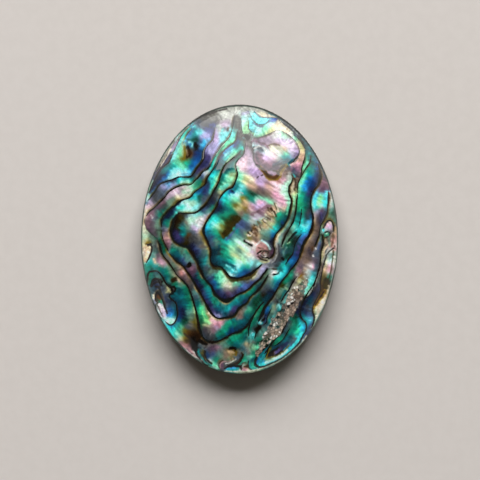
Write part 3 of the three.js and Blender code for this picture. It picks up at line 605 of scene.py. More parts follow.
    ("azure", .2, 7.9, -9.4), ("grey teal", .15, 7.62, -9.8), ("indigo", .2, 7.95, -9.8),
    ("slate blue", .2, 7.6, -10.4), ("navy", .18, 7.6, -10.9), ("cyan", .22, 8.1, -3.95),
    ("pale cyan", .22, 7.9, -4.5), ("cyan", .22, 7.8, -4.9), ("mint", .2, 7.6, -5.2),
    ("ice", .18, 7.45, -5.35), ("green", .14, 7.72, -5.4), ("frost", .14, 7.7, -5.7),
    ("straw", .14, 7.5, -6.1), ("mist", .2, 7.5, -3.8), ("grey", .22, 7.55, -4.25), ("brown", .2, 7, -4),
    ("straw", .12, 6.95, -4.25, 6.7, -4.55), ("plum grey", .2, 7.9, -5.9), ("green", .25, 5.5, -4.25),
    ("emerald", .25, 5.25, -4.6), ("pale grey", .2, 6.3, -4.2), ("smoke", .25, 5.85, -4.85),
    ("pale green", .18, 5.15, -5.5), ("slate", .22, 5.5, -5.3), ("dark olive", .22, 4.7, -5.2),
    ("grey green", .25, 4.4, -6.1), ("sea", .18, 4.75, -6.4), ("smoke", .25, 4.2, -6.9),
    ("slate teal", .22, 3.4, -6.95), ("grey green", .25, 3.1, -3.9), ("grey teal", .22, 2.9, -4.45),
    ("pale grey", .22, 3.6, -4.15), ("white", .16, 4.05, -3.68), ("pale pink", .14, 3.78, -3.8),
    ("turquoise", .22, 4.1, -4.4), ("sea", .2, 4.15, -4.65), ("blue", .2, 4.2, -4.95),
    ("grey green", .25, 3.4, -4.7), ("slate", .25, 3.1, -5.1), ("grey teal", .14, 3.7, -5.25),
    ("smoke", .28, 2.8, -5.6), ("umber", .22, 2.65, -6.2), ("deep teal", .28, 3, -6.55),
    ("navy", .22, 3.5, -5.8), ("dark green", .28, 2, -6.5), ("slate teal", .22, 1.9, -6.15),
    ("emerald", .22, 1.5, -5.6), ("slate teal", .22, 1.95, -5.3), ("emerald", .22, .8, -6.1),
    ("teal", .25, .3, -6.45), ("mint", .1, -.6, -6.55, -.1, -6.3), ("sea", .22, -.4, -7),
    ("sea", .2, 0, -6.8), ("teal", .22, .3, -7), ("indigo", .22, .55, -6.95),
    ("violet", .25, -.4, -7.6, -.6, -8), ("sea", .2, -.9, -7.3), ("cyan", .16, -1.15, -7.85),
    ("sea", .25, -1.5, -7.7), ("teal", .25, -2.2, -7.6), ("green", .22, -2.7, -6.9),
    ("grey teal", .22, -1.7, -7.3), ("deep teal", .22, -1.7, -8.2),
    ("lavender", .22, -2.6, -8.3, -2.2, -8.4), ("violet", .2, -2.9, -7.8), ("navy", .25, -2.4, -7.95),
    ("plum grey", .2, -.8, -8.3), ("emerald", .22, -3.7, -5.2), ("sea", .22, -3.4, -5.6),
    ("slate blue", .25, -3.9, -6), ("blue", .2, -3.45, -6.3), ("sea", .22, -3.1, -6.2),
    ("violet", .22, -3.55, -6.8), ("indigo", .22, -3.25, -7.3), ("green", .2, -2.85, -6.5),
    ("emerald", .22, -4.4, -4.4), ("navy", .25, -4.8, -4.5), ("navy", .28, -4.3, -5.4),
    ("indigo", .25, -4.6, -4.9), ("grey green", .14, -3.1, -5.3),
    # the band below it, with the lime, pink and emerald glow at its turn
    ("grey", .25, -7.8, -2.2), ("grey green", .25, -7.2, -3), ("tan", .2, -6.45, -3.1),
    ("grey", .22, -6.75, -3.35), ("salmon", .22, -6.3, -3.78), ("pale pink", .16, -5.95, -3.82),
    ("plum grey", .28, -5.9, -4.35), ("taupe", .25, -5.6, -4.55), ("smoke", .28, -5.3, -5.1),
    ("grey teal", .25, -4.95, -5.9), ("slate", .25, -4.8, -6.4), ("teal", .22, -4.7, -7.15),
    ("green", .2, -4.45, -7.4), ("bright green", .22, -4.2, -7.75), ("lime", .22, -4.1, -8.05),
    ("green", .2, -4.3, -8.2), ("bright green", .18, -3.95, -8.55), ("lime", .18, -3.75, -8.8, -3.5, -9),
    ("olive", .15, -3.5, -8.55), ("grey green", .2, -3.75, -7.8), ("taupe", .18, -4.2, -7.2),
    ("sand", .18, -3.35, -8.4), ("dusky rose", .18, -3.1, -8.8), ("pale pink", .18, -2.8, -8.95),
    ("rose", .22, -2.6, -9.3), ("rose", .2, -2.2, -9.45), ("lilac", .18, -2.6, -9.65),
    ("mauve", .25, -3, -10), ("grey", .22, -3.3, -10.1), ("plum grey", .25, -3.75, -10),
    ("green", .28, -1.3, -9.5, -1.5, -9.85), ("emerald", .25, -.5, -9.4), ("teal", .22, -.6, -9),
    ("deep teal", .25, -.3, -9.8), ("deep blue", .25, -.8, -10.1), ("green", .22, -2.1, -10.4),
    ("teal", .22, -2, -10.75), ("smoke", .25, -3, -11), ("slate", .25, -3.8, -11),
    ("smoke", .25, -3.5, -10.6), ("straw", .12, -3.9, -9.4, -3.35, -9.75), ("dark green", .2, -4.1, -9),
    ("taupe", .22, .15, -8.1), ("dusky rose", .2, 0, -8.5), ("grey", .22, .6, -7.8),
    ("green", .22, .95, -7.95), ("mint", .14, 1.1, -7.75), ("teal", .25, .8, -8.5),
    ("slate teal", .22, 1.1, -7.2), ("teal", .22, .3, -9.15), ("deep teal", .22, .3, -9.5),
    # the left foot of the stone: the two loops and what lies round them
    ("green", .22, -10, -4), ("emerald", .2, -9.9, -4.3), ("slate teal", .22, -9.3, -3.9),
    ("grey teal", .2, -8.9, -4.25), ("grey green", .2, -8.6, -4.8), ("navy", .28, -9.35, -4.85),
    ("navy", .28, -9, -5.35), ("slate teal", .22, -9.6, -5.6), ("ivory", .13, -9.55, -6.3),
    ("brown", .22, -9.15, -6.15), ("umber", .22, -9.2, -6.75), ("slate", .22, -8.55, -5.9),
    ("slate", .22, -8.5, -5.3), ("straw", .16, -7.85, -5.65), ("grey", .18, -8.05, -5.5),
    ("black", .25, -7.4, -5.6), ("dark olive", .22, -7.4, -4.7), ("sand", .16, -7.1, -4.3),
    ("pale grey", .16, -6.8, -4.6), ("emerald", .25, -7, -5.1), ("grey green", .25, -6.4, -5.1),
    ("emerald", .28, -5.9, -5.7), ("deep teal", .25, -6.6, -5.7), ("teal", .25, -7, -6.15),
    ("teal", .28, -6.45, -6.35), ("emerald", .28, -5.6, -6.7), ("deep teal", .25, -6.6, -7.15),
    ("navy", .28, -6.45, -7.8, -6.4, -8.5), ("deep blue", .25, -6.75, -9), ("teal", .25, -6.1, -7.2),
    ("green", .25, -5.5, -7.5), ("grey teal", .25, -5.5, -8.1), ("dark green", .28, -6.1, -9.1),
    ("grey green", .25, -5.2, -8.7), ("olive", .2, -5, -9.2), ("grey", .25, -5.3, -9.5),
    ("slate", .22, -5.6, -9.8), ("pale green", .12, -5.2, -7, -5, -7.8), ("green", .22, -8.9, -6.9),
    ("pale pink", .18, -9, -7.6), ("pale lilac", .22, -8.65, -8.05), ("lavender", .2, -8.4, -8.3),
    ("pale pink", .18, -8.6, -8.6), ("cream", .14, -8.4, -7.65), ("lavender", .14, -9.5, -7),
    ("ice", .14, -9.1, -8.1, -8.8, -8.75), ("pale cyan", .18, -8.3, -9.4), ("cyan", .22, -7.95, -9.95),
    ("turquoise", .25, -7.45, -10.4), ("sea", .18, -7, -10.8), ("frost", .2, -6.9, -10.4),
    ("ivory", .18, -6.7, -10.9), ("straw", .16, -6.5, -11.1), ("navy", .25, -8.2, -6.8),
    ("slate", .22, -8, -7.2), ("deep blue", .25, -7.8, -7.8), ("blue", .22, -7.9, -8.5),
    ("azure", .22, -7.6, -8.3), ("slate teal", .22, -7.4, -7.5), ("teal", .22, -7.2, -8.3),
    ("frost", .2, -7.95, -9.15), ("mint", .18, -7.6, -9.3), ("mist", .15, -7.4, -9.15),
    ("blue", .22, -7.55, -9.75), ("cyan", .2, -7.3, -10.1), ("sea", .22, -7, -9.6),
    ("green", .22, -6.75, -9.9), ("pale green", .12, -6.5, -9.8, -6.4, -10.4),
    ("emerald", .18, -6.65, -10.3), ("olive", .28, -6, -10.35), ("brown", .22, -5.65, -10.4),
    ("gold", .22, -6, -10.95), ("dark olive", .22, -5.85, -11.3), ("umber", .35, -5.3, -10.9),
    ("black", .35, -5, -11.5, -4.9, -12.1), ("umber", .25, -4.6, -10.5), ("mauve", .2, -6.5, -11.5),
    ("rose", .18, -6, -11.9), ("mauve", .2, -5.7, -12.3), ("white", .14, -5.1, -13.05, -4.5, -13.5),
    ("frost", .12, -6.1, -12.35),
    # the foot of the stone
    ("sea", .2, -4.7, -12.4), ("slate teal", .2, -4.5, -12.95), ("slate", .22, -4.4, -12.05),
    ("grey", .22, -3.8, -11.8), ("olive", .16, -4.2, -12.7), ("deep blue", .22, -3.6, -12.9),
    ("plum grey", .25, -3.3, -12.3), ("plum", .2, -3, -12.2), ("slate blue", .2, -3, -12.65),
    ("mauve", .22, -2.4, -12.1), ("grey teal", .22, -2.4, -12.6), ("emerald", .25, -2.5, -13.35),
    ("grey green", .22, -2.1, -13), ("pale grey", .18, -3.35, -13.4), ("mint", .16, -3, -13.95),
    ("mint", .12, -2.5, -14.32), ("plum", .2, -2, -14.05), ("brown", .16, -2.15, -13.6),
    ("smoke", .22, -1.4, -13.9), ("grey green", .18, -1.1, -13.5), ("olive", .14, -.8, -13.4),
    ("smoke", .2, -.7, -13.85), ("taupe", .25, -1.5, -12.95), ("tan", .22, -1, -12.55),
    ("gold", .16, -.6, -12.6), ("black", .22, -.7, -12.05), ("umber", .2, -1.1, -12.2),
    ("azure", .18, -.9, -14.38), ("sea", .16, -.95, -14.6), ("slate teal", .18, -.4, -14.4),
    ("frost", .14, -.4, -14.75, .1, -14.8), ("cream", .16, .8, -14.78), ("ivory", .16, 1.3, -14.68),
    ("rose", .18, .4, -14.5), ("brown", .18, .75, -14.2), ("slate", .25, -.2, -13),
    ("grey", .18, -.2, -12.65), ("slate teal", .25, .4, -12.1), ("grey", .25, .9, -12.35),
    ("tan", .22, .9, -11.5), ("green", .22, .5, -13.4), ("grey teal", .22, .9, -13.3),
    ("mint", .16, 1.22, -13), ("deep teal", .2, 1.4, -13.4), ("emerald", .22, 1.45, -14.05),
    ("mint", .16, 1.7, -14.42, 2.1, -14.4), ("pale green", .2, 1.6, -12.2), ("mint", .16, 2.05, -12.02),
    ("emerald", .2, 1.5, -12.55), ("dark green", .2, 1.9, -12.5), ("blue", .22, 2.3, -13.5),
    ("azure", .2, 2.15, -13.85), ("turquoise", .2, 2.5, -13.9), ("pale cyan", .2, 2.95, -13.85),
    ("ice", .22, 3.5, -13.52, 3.9, -13.4), ("pale cyan", .2, 4.5, -13.1), ("cyan", .18, 5.2, -12.6),
    ("sky", .16, 5.65, -12.25), ("azure", .18, 6.1, -11.75), ("slate teal", .16, 6.35, -11.4),
    ("gold", .2, 3.1, -13.1), ("olive", .18, 3.65, -13.15), ("plum", .25, 3.75, -12.8),
    ("violet", .22, 4.2, -12.5), ("navy", .25, 4.5, -12.1), ("deep teal", .22, 4, -11.85),
    ("pale green", .14, 3.1, -13.38, 3.7, -13.3), ("teal", .2, 2.5, -12.85), ("green", .28, -.4, -10.9),
    ("emerald", .25, -.9, -11.25), ("teal", .28, -.5, -11.6), ("emerald", .25, .6, -10),
    ("emerald", .28, .15, -10.8), ("teal", .25, .5, -10.95), ("grey green", .22, -1.8, -11.5),
    ("grey teal", .22, -1.3, -11.8), ("emerald", .22, 2.2, -7.4), ("green", .22, 2.2, -7.85),
    ("mint", .16, 1.6, -8.5), ("emerald", .22, 1.75, -8.9), ("emerald", .2, 1.25, -9.5),
    ("dark green", .25, 1.7, -7), ("teal", .2, 3.1, -7.7), ("blue", .18, 2.9, -8), ("navy", .2, 2.7, -8.5),
    ("pale cyan", .16, 2.28, -9.12), ("slate blue", .18, 2.65, -9), ("smoke", .22, 1.55, -9.85),
    ("umber", .2, 2.05, -9.7), ("pale cyan", .16, 1.45, -10.48), ("sea", .18, 1.45, -10.8),
    ("grey teal", .2, 1.2, -11.25), ("grey", .2, 1.65, -11.4), ("grey teal", .2, 2.6, -9.85),
    ("grey teal", .2, 2.2, -10.5), ("emerald", .18, 2, -11.1), ("dark green", .2, 2.1, -11.6),
    ("slate", .2, 2.8, -9.5), ("grey", .2, 3.9, -6.65), ("sea", .18, 4.4, -7.75), ("ice", .12, 4.35, -7.35),
    ("grey teal", .2, 4.1, -8.3), ("straw", .18, 3.85, -7.65), ("grey green", .2, 3.6, -8),
    ("slate", .18, 3.95, -7.9), ("ice", .1, 3.7, -8.6), ("sea", .2, 3.45, -9),
    ("grey teal", .2, 3.15, -8.5), ("bright green", .28, 6.5, -10.25), ("cyan", .22, 6.9, -9.75),
    ("azure", .22, 7.1, -10), ("sea", .22, 6.9, -10.5), ("emerald", .22, 6.4, -9.75),
    ("emerald", .2, 6.5, -10.7), ("sky", .16, 6.6, -10.95), ("green", .22, 5.9, -9.3),
    ("emerald", .25, 5.95, -10), ("dark green", .22, 6.15, -8.8), ("slate", .2, 5.5, -9.2, 5.2, -9.9),
    ("taupe", .16, 5.72, -9.4), ("slate teal", .2, 4.95, -10.35), ("green", .18, 4.45, -11.2),
    ("teal", .25, 5.1, -11.2), ("deep teal", .25, 5.7, -10.8), ("grey", .2, 6.1, -11),
    ("deep teal", .25, 4.9, -11.75), ("slate", .25, 5.7, -11.5), ("navy", .22, 6.5, -8),
    ("smoke", .2, 6.9, -6.8), ("dark green", .2, 3.4, -12),
)
# Small crisp marks laid over the patches: the slit and the pit near the middle, knots, pale edges, specks,
# painted glints and highlights, painted light along the lower edge, and the darker line under the rim, which
# is painted shade on the steep edge. Each has its colour, its half-width, how far it covers, and the places
# that it passes.
PEARL_MARKS = (
    # the slit, the pit and the olive bar near the middle
    ("dark olive", .28, .97, -.2, 2.3, -1.72, .42), ("olive", .07, .6, -2.12, .7, -1.85, .15),
    ("slate blue", .07, .8, .15, 1.85, -.7, .75, -1.4, -.1), ("black", .1, 1, .5, -.2, 1.35, -.7),
    # The white marks on this line and the next, on both sides of the slit, are painted glints on its edges.
    ("black", .1, 1, .95, -.55, 1.35, -.72), ("white", .06, .9, .75, -.15, 1.15, -.38),
    ("white", .07, .85, 1.55, -.75, 1.75, -.95), ("white", .05, .8, .55, -.62, 1.05, -.98),
    ("dusky rose", .5, .75, 2.35, -1, 2.6, -1.3), ("taupe", .2, .7, 2.95, -1.65, 2.7, -1.95),
    ("white", .08, .8, 2.2, -.3, 1.7, -.9, 1.72, -1.55), ("pale pink", .08, .8, 1.72, -1.5, 2.1, -2.15),
    ("ice", .08, .95, 2.5, -.15, 3.02, -.5, 3.38, -1.1),
    ("slate", .07, .7, 2.7, -.05, 3.25, -.42, 3.55, -1),
    ("black", .08, .95, 2, -1.62, 2.3, -1.38, 2.8, -1.3, 3.15, -1.45),
    ("black", .07, .9, 2.62, -1.35, 2.42, -1.8, 2.8, -2.08, 3.2, -2.05),
    ("umber", .07, .9, 2.05, -1.95, 2.45, -2.25, 3, -2.37), ("umber", .05, .7, 2.1, -.95, 2.55, -1.08),
    ("umber", .05, .6, 2.9, -1.75, 3.1, -1.6), ("straw", .06, .8, 2.3, -2.45, 2.8, -2.6, 3.3, -2.45),
    ("white", .06, .8, 1, .42, 1.25, .38), ("mauve", .12, .75, 1.3, 2.68, 2.1, 3.1, 2.8, 3.5, 3.4, 3.65),
    ("lilac", .16, .6, 1.8, 3.35, 2.6, 3.8), ("cream", .08, .9, 3, 2.5, 3.4, 2.2),
    ("cream", .06, .8, 3.3, 2.02, 3.5, 1.98), ("umber", .05, .9, 3.05, 2.33, 3.35, 2.12),
    ("plum", .12, .8, 3.7, -1.1, 3.65, -1.5), ("grey", .1, .7, 4.05, -.9, 4, -1.8, 3.5, -2.5),
    ("pale grey", .05, .7, 3.95, -.2, 4.2, -1, 4.05, -2, 3.6, -2.6),
    ("smoke", .07, .8, 4.35, -.6, 4.3, -1.7, 3.9, -2.5), ("white", .13, .95, 3.82, -3.72, 4.05, -3.66),
    ("black", .06, .95, 3.75, -3.95, 4.2, -3.88, 4.42, -3.62), ("umber", .07, .8, 3.7, -3.3, 4.1, -3.35),
    ("deep teal", .12, .7, -2.32, -1.15, -2.2, -.7),
    ("deep teal", .05, .6, -1.9, -2.45, -1.1, -2.75, -.4, -3.05),
    ("pale cyan", .06, .8, -1.45, -2.9, -1, -3.15), ("pale cyan", .06, .8, -.85, -3.35, -.35, -3.6),
    ("white", .05, .6, -1.2, -5.2, -1.7, -5.05), ("white", .05, .7, .1, 5.2, .35, 5.05),
    ("deep blue", .12, .8, -.95, 5.35, -.6, 5.15), ("black", .06, .6, -.85, 5.42, -.7, 5.3),
    ("dark olive", .15, .75, -2.9, -3.2, -1.8, -3.38, -1.28, -4.1, -.84, -4.55, .34, -4.5, 1.26, -4.15, 1.8,
     -3.6),
    ("umber", .05, .8, .95, .75, 1.15, .5), ("umber", .05, .8, 1.3, .95, 1.5, .65),
    ("sand", .04, .7, .85, .5, 1.05, .25), ("sand", .04, .7, 1.15, .75, 1.4, .45),
    ("umber", .06, .8, 1.9, 1.2, 2.05, .85), ("umber", .05, .8, 2.25, 1.45, 2.4, 1.1),
    ("cream", .05, .8, 2.1, 1.35, 2.3, .95), ("brown", .12, .7, 1.75, .75, 1.95, .35),
    ("cream", .05, .8, 2.6, 2.3, 2.9, 1.9), ("umber", .04, .8, 2.55, 2.15, 2.8, 1.8),
    ("umber", .05, .8, 3.4, 3.3, 3.65, 2.85), ("umber", .05, .8, 3.75, 3, 4.05, 2.5),
    ("cream", .05, .7, 3.6, 2.95, 3.85, 2.55), ("umber", .04, .8, 3.1, 3.45, 3.3, 3.1),
    ("brown", .1, .6, 2, 1.9, 2.3, 1.5), ("umber", .04, .7, 1.6, 1.6, 1.75, 1.3),
    # knots and dark marks on the left
    ("black", .2, 1, -5.66, -2.95, -5.5, -2.75), ("umber", .06, .8, -5.9, -3.05, -5.65, -2.95),
    ("black", .28, .95, -7.35, -5.7, -7.25, -5.5), ("umber", .2, .85, -7.4, -4.62, -7.1, -4.48),
    ("sand", .08, .7, -6.8, -4.45, -6.6, -4.7), ("straw", .07, .85, -8.05, -5.35, -7.85, -5.6, -8, -5.85),
    ("straw", .06, .7, -7.75, -5.75, -7.6, -5.95),
    ("black", .13, .95, -9.85, -5.3, -9.6, -4.65, -9.05, -4.45, -8.65, -4.75),
    ("umber", .16, .9, -9.15, -6, -8.95, -6.5),
    ("black", .07, .9, -9.1, -5.95, -8.7, -6.5, -8.35, -7.3, -8.05, -8.3),
    ("umber", .04, .8, -9.35, -6.2, -9.2, -7.1, -8.8, -8.1, -8.5, -8.6),
    ("pale lilac", .15, .95, -8.8, -7.3, -8.55, -7.9, -8.35, -8.5),
    ("white", .06, .9, -8.9, -7.2, -8.65, -7.8), ("brown", .12, .8, -9.05, -6.35, -8.85, -6.7),
    ("cream", .06, .8, -9.6, -6.15, -9.45, -6.6), ("gold", .06, .8, -10.4, -.6, -10.2, -.4, -9.95, -.45),
    ("black", .1, .9, -10.15, -.7, -9.85, -.62), ("gold", .07, .7, -8.2, -1.15, -7.95, -1.55, -7.6, -1.95),
    ("cream", .09, .85, -8.75, 8.15, -8.2, 8.95, -7.6, 9.95),
    ("lilac", .06, .9, -7.75, 9.4, -7.25, 10.25, -6.6, 11.2),
    ("navy", .09, .85, -9.5, 6.7, -8.9, 7.6, -8.3, 8.5, -7.6, 9.6),
    # The ivory smear on this line and the frost and ice smears on the next are pale pearl brightened as
    # painted highlights.
    ("plum grey", .07, .6, -8.9, 3.4, -8.6, 2.9), ("ivory", .26, .6, -6.1, 5.35, -5.55, 5.5),
    ("frost", .3, .5, -5.8, 4.05, -5.2, 3.9), ("ice", .2, .4, -4.7, 1.5, -4.3, 1.4),
    ("white", .05, .6, -9.85, 2.6, -9.65, 2.3), ("umber", .16, .8, -5.75, 10.2, -5.5, 9.5, -5.8, 9.0),
    ("gold", .1, .7, -6.1, 10.3, -6.05, 9.5, -6.15, 8.85), ("tan", .05, .6, -5.9, 9.9, -5.75, 9.3),
    ("black", .15, .9, -4.88, 10.6, -4.8, 10.2),
    ("pale cyan", .09, .8, -5.55, 10.75, -5.2, 10.6, -5.25, 10.35),
    ("blue", .07, .8, -5.42, 10.58, -5.35, 10.5),
    ("dark green", .07, .6, -5.9, 11.1, -5.5, 10.95, -5, 10.95), ("black", .2, .85, .75, 11.35, .9, 11.2),
    ("slate", .06, .6, -3.2, 11.4, -2.9, 10.8),
    ("taupe", .07, .6, 1.47, 9.9, 1.5, 9.2, 1.65, 8.5, 1.95, 8.05),
    ("slate", .14, .6, -1.55, 12.3, -1.35, 12.1), ("sand", .07, .8, -9.5, -2.2, -9.3, -2.6),
    ("pale green", .05, .7, -5.15, -7.0, -5.02, -7.6, -4.95, -8.2),
    ("olive", .1, .7, -3.55, 2.05, -3.75, 1.75),
    # the pink field and the island
    ("umber", .04, .9, 1.95, 6.78, 2.1, 6.92), ("umber", .05, .9, 2.35, 7.02, 2.5, 7.1),
    ("gold", .24, .85, 2.35, 7.95, 2.65, 7.6, 2.85, 7.15, 3.35, 6.75, 3.9, 6.65, 4.4, 6.95, 4.6, 7.6, 5.1,
     8.1),
    ("brown", .17, .9, 2.6, 7.75, 2.85, 7.25, 3.35, 6.9, 3.9, 6.8, 4.3, 7.15),
    ("dark olive", .08, .85, 4.35, 7.2, 4.45, 7.7, 5, 8.15),
    ("dark olive", .07, .8, 3.7, 7.55, 4.1, 7.5, 4.2, 7.25), ("black", .09, .8, 2.05, 8.15, 2.2, 8),
    ("white", .07, .9, 1.68, 10.02, 2.15, 10.27, 2.65, 10.1, 3.1, 9.55),
    ("slate", .09, .85, 2.05, 10.02, 2.35, 10.08, 2.6, 9.8),
    ("white", .07, .7, 2.85, 9.75, 3.15, 9.45, 3.6, 9.3),
    ("plum grey", .06, .7, 1.9, 8.9, 2.6, 8.3, 3.2, 7.6), ("slate", .08, .7, 3.7, 8.15, 4.4, 8.5, 5.1, 8.6),
    ("olive", .06, .6, 3.2, 10.35, 3.8, 10.55, 4.4, 10.35),
    ("mauve", .06, .6, 1.9, 10.75, 2.7, 10.6, 3.15, 10.25), ("slate", .09, .6, 6, 7.9, 6.15, 7.1),
    ("cyan", .06, .7, 5.95, 7.15, 6.1, 6.9), ("umber", .07, .7, 6.05, 6.7, 6.2, 6, 6.05, 5.4),
    ("mauve", .3, .7, 2.1, 9.1, 2.4, 8.6, 2.9, 8.1),
    ("plum grey", .12, .8, 1.85, 9.4, 2, 8.7, 2.5, 8.15, 3, 7.7), ("plum grey", .14, .7, 3.4, 7.7, 4, 7.75),
    ("smoke", .1, .7, 3.7, 8, 4.4, 8.25, 5.2, 8.4),
    # the right side
    ("dark olive", .28, .95, 9.6, -4.75, 9.65, -5.3),
    ("gold", .16, .9, 9.5, -5.7, 8.95, -6.4, 8.5, -7.1, 8.28, -7.6),
    ("brown", .1, .85, 9.35, -5.75, 8.85, -6.5, 8.42, -7.2),
    ("sand", .2, .9, 9.5, -6.3, 9.15, -7, 8.8, -7.6), ("ivory", .14, .9, 8.75, -8, 8.55, -8.8),
    ("mint", .07, .8, 8.45, -9, 8.25, -9.6), ("cream", .09, .8, 9.9, -5.2, 9.75, -6),
    ("black", .045, .8, 3.8, -3.85, 4.15, -3.88), ("white", .035, .9, 8.1, -1.75, 8.2, -1.92),
    ("white", .035, .9, 8.38, -.98, 8.48, -1.12), ("white", .09, .9, 7.9, -2.95, 8.05, -3.12),
    ("pink", .08, .8, 8.12, -3.0, 8.2, -3.2), ("umber", .07, .7, 10.62, -.78, 10.68, -.86),
    ("olive", .11, .85, 9.3, 1.3, 9.6, 1.9, 10.1, 2.2, 10.4, 1.7, 10.5, 1),
    ("umber", .05, .6, 9.4, 1.6, 9.85, 2.05, 10.25, 1.95),
    ("dark olive", .12, .85, 9.15, .45, 9.3, .15, 9.6, .1), ("green", .22, .9, 9.68, .52, 9.74, .52),
    ("black", .05, .9, 9.48, .75, 9.78, .84, 10, .62, 9.94, .32, 9.62, .22),
    # The frost dot on the small green knot on this line is a painted highlight.
    ("frost", .05, .9, 9.62, .62, 9.72, .6), ("cyan", .07, .8, 9.3, 1.15, 9.32, .9),
    ("violet", .06, .6, 9.0, 2.9, 9.15, 2.3), ("dark olive", .3, .85, 9.55, -4.6, 9.6, -5.2),
    ("umber", .08, .8, 9.3, -5.9, 8.85, -6.7, 8.45, -7.3),
    ("gold", .07, .8, 9.5, -5.95, 9.1, -6.6, 8.6, -7.3),
    ("pale grey", .06, .75, 8.9, -3.1, 8.75, -3.9, 8.45, -4.7, 8.15, -5.5, 7.75, -6),
    ("frost", .07, .7, 7.6, -6.15, 7.7, -5.75, 8.1, -5.3), ("gold", .06, .7, 6.85, -4.0, 6.55, -4.35),
    ("umber", .08, .6, 5.65, -7.2, 5.75, -7.5), ("cream", .18, .9, 9.5, -6.6, 9.1, -7.3, 8.75, -8),
    ("pale grey", .045, .7, 10.76, -1.3, 10.57, -3, 10.16, -5, 9.69, -6.5, 8.87, -8.4, 7.93, -10),
    ("dark olive", .07, .75, 10.44, -1.3, 10.25, -3, 9.9, -4.6),
    # The deep teal band and the black lines along the upper rim below are painted shade on the steep edge.
    ("deep teal", .1, .9, 4.4, 13.55, 5.6, 12.92, 6.9, 11.85, 7.9, 10.5, 8.6, 9.2, 9.2, 7.95),
    ("pale grey", .05, .6, 4.6, 13.2, 5.6, 12.55, 6.7, 11.5),
    ("black", .08, .8, 4.4, 13.68, 5.6, 13.04, 6.95, 11.96, 7.95, 10.6, 8.66, 9.28, 9.28, 8),
    ("black", .11, .8, -4.7, 13.4, -4.1, 13.72, -3.4, 13.95),
    # the foot: the crescent with its dark wedge, the small lens and the curls beside it
    ("sea", .15, .8, 2.05, -14, 2.35, -13.5, 2.8, -12.95),
    ("cyan", .16, .9, 2.3, -14.05, 3.2, -13.9, 4.3, -13.3, 5.4, -12.5, 6.3, -11.5, 6.95, -10.5),
    ("ice", .12, .9, 2.9, -13.75, 3.7, -13.45, 4.6, -12.9, 5.3, -12.35),
    ("frost", .07, .8, 3.4, -13.5, 4.3, -13, 5.2, -12.25), ("umber", .2, .9, 3.15, -12.95, 3.7, -12.65),
    ("black", .13, .85, 3.4, -12.7, 3.9, -12.35, 4.3, -12.1), ("violet", .16, .8, 4.15, -12.5, 4.6, -12.15),
    ("navy", .2, .8, 4.8, -12, 5.3, -11.5),
    ("olive", .05, .9, 2.95, -13.25, 3.9, -13.08, 4.9, -12.45, 5.5, -11.8),
    ("olive", .05, .85, 2.98, -13.15, 3.15, -12.6, 3.5, -12.05),
    ("black", .07, .95, 3.3, -12.98, 4.0, -12.88, 4.75, -12.35),
    ("black", .07, .95, 1.72, -13.5, 1.95, -13, 2.5, -12.4, 3.25, -11.65),
    ("black", .07, .95, 1.7, -13.5, 1.72, -14, 2.1, -14.3, 2.9, -14.33),
    ("sea", .13, .85, 1.05, -13.6, 1.15, -14.2, 1.8, -14.5), ("green", .08, .7, 1.35, -13.8, 1.5, -14.3),
    ("black", .06, .8, .95, -13.55, .95, -14.2, 1.3, -14.55),
    ("sea", .14, .95, -1.2, -14.52, -.7, -14.55, -.25, -14.42), ("azure", .08, .8, -1, -14.4, -.5, -14.35),
    ("black", .08, .95, -1.6, -14.37, -1.1, -14.17, -.4, -14.15, .15, -14.22),
    ("black", .09, .9, .1, -14.3, .2, -14.5),
    # The ivory line on this line, along the bottom edge, is painted light caught along the very edge.
    ("ivory", .07, .9, -1.6, -14.72, -.4, -14.82, .9, -14.86, 2.2, -14.7),
    ("pink", .09, .8, .35, -14.55, .8, -14.55), ("umber", .09, .8, .5, -14.2, .95, -14.1),
    ("umber", .11, .9, .37, -12.8, .15, -13.4, -.3, -13.8, -.9, -14),
    ("umber", .08, .8, .2, -12.6, .35, -12.9), ("black", .13, .9, -1, -12.05, -.55, -12.07, -.5, -12.35),
    ("tan", .09, .8, -1, -12.45, -.65, -12.6), ("gold", .07, .8, -.7, -12.3, -.35, -12.5, -.4, -12.9),
    ("dusky rose", .05, .5, -2.13, -14.3, -2.13, -13.9, -1.75, -13.64, -1.2, -13.6, -.7, -13.3),
    ("plum", .1, .8, -1.95, -14.2, -1.85, -13.95),
    ("umber", .05, .8, -2.25, -14.3, -2.25, -13.85, -1.85, -13.5),
    ("mist", .05, .7, -1.5, -13.85, -.9, -13.65, -.4, -13.35),
    ("black", .07, .9, -4.85, -12.25, -4.78, -12.9, -4.2, -13.65, -3.6, -14.1),
    ("sea", .09, .85, -4.6, -12.25, -4.45, -12.9, -3.85, -13.6, -3.1, -14.15),
    ("ice", .07, .8, -3.1, -14.2, -2.5, -14.5),
    ("black", .09, .9, -3.85, -12.4, -3.9, -12.9, -3.6, -13.45, -3.1, -13.85),
    ("olive", .05, .7, -4, -12.35, -4.02, -12.9, -3.75, -13.4),
    ("dusky rose", .08, .6, -6.6, -11.45, -5.6, -12.2, -4.9, -13),
    # The white line on this line, along the lower left rim, is painted light caught along the edge.
    ("white", .05, .8, -5.9, -12.4, -5.1, -13.1, -4.3, -13.65),
    ("black", .3, .8, -5.1, -11.2, -4.9, -11.8, -4.95, -12.2), ("umber", .2, .8, -4.5, -10.6, -4.6, -11.2),
    ("black", .16, .85, -4.4, -11.3, -3.7, -11.6), ("umber", .1, .6, -6.1, -10.5, -5.7, -10.9),
    ("black", .22, .9, 2.15, -9.7, 1.85, -10.1), ("ice", .07, .9, 2.2, -9.1, 2.4, -9.05),
    ("ice", .08, .9, 1.4, -10.4, 1.55, -10.6), ("blue", .13, .8, 3.15, -7.6, 2.9, -8.2),
    ("black", .1, .8, 2.75, -8.75, 2.45, -9.1), ("pale cyan", .08, .8, 4.35, -7.25, 4.5, -7.6),
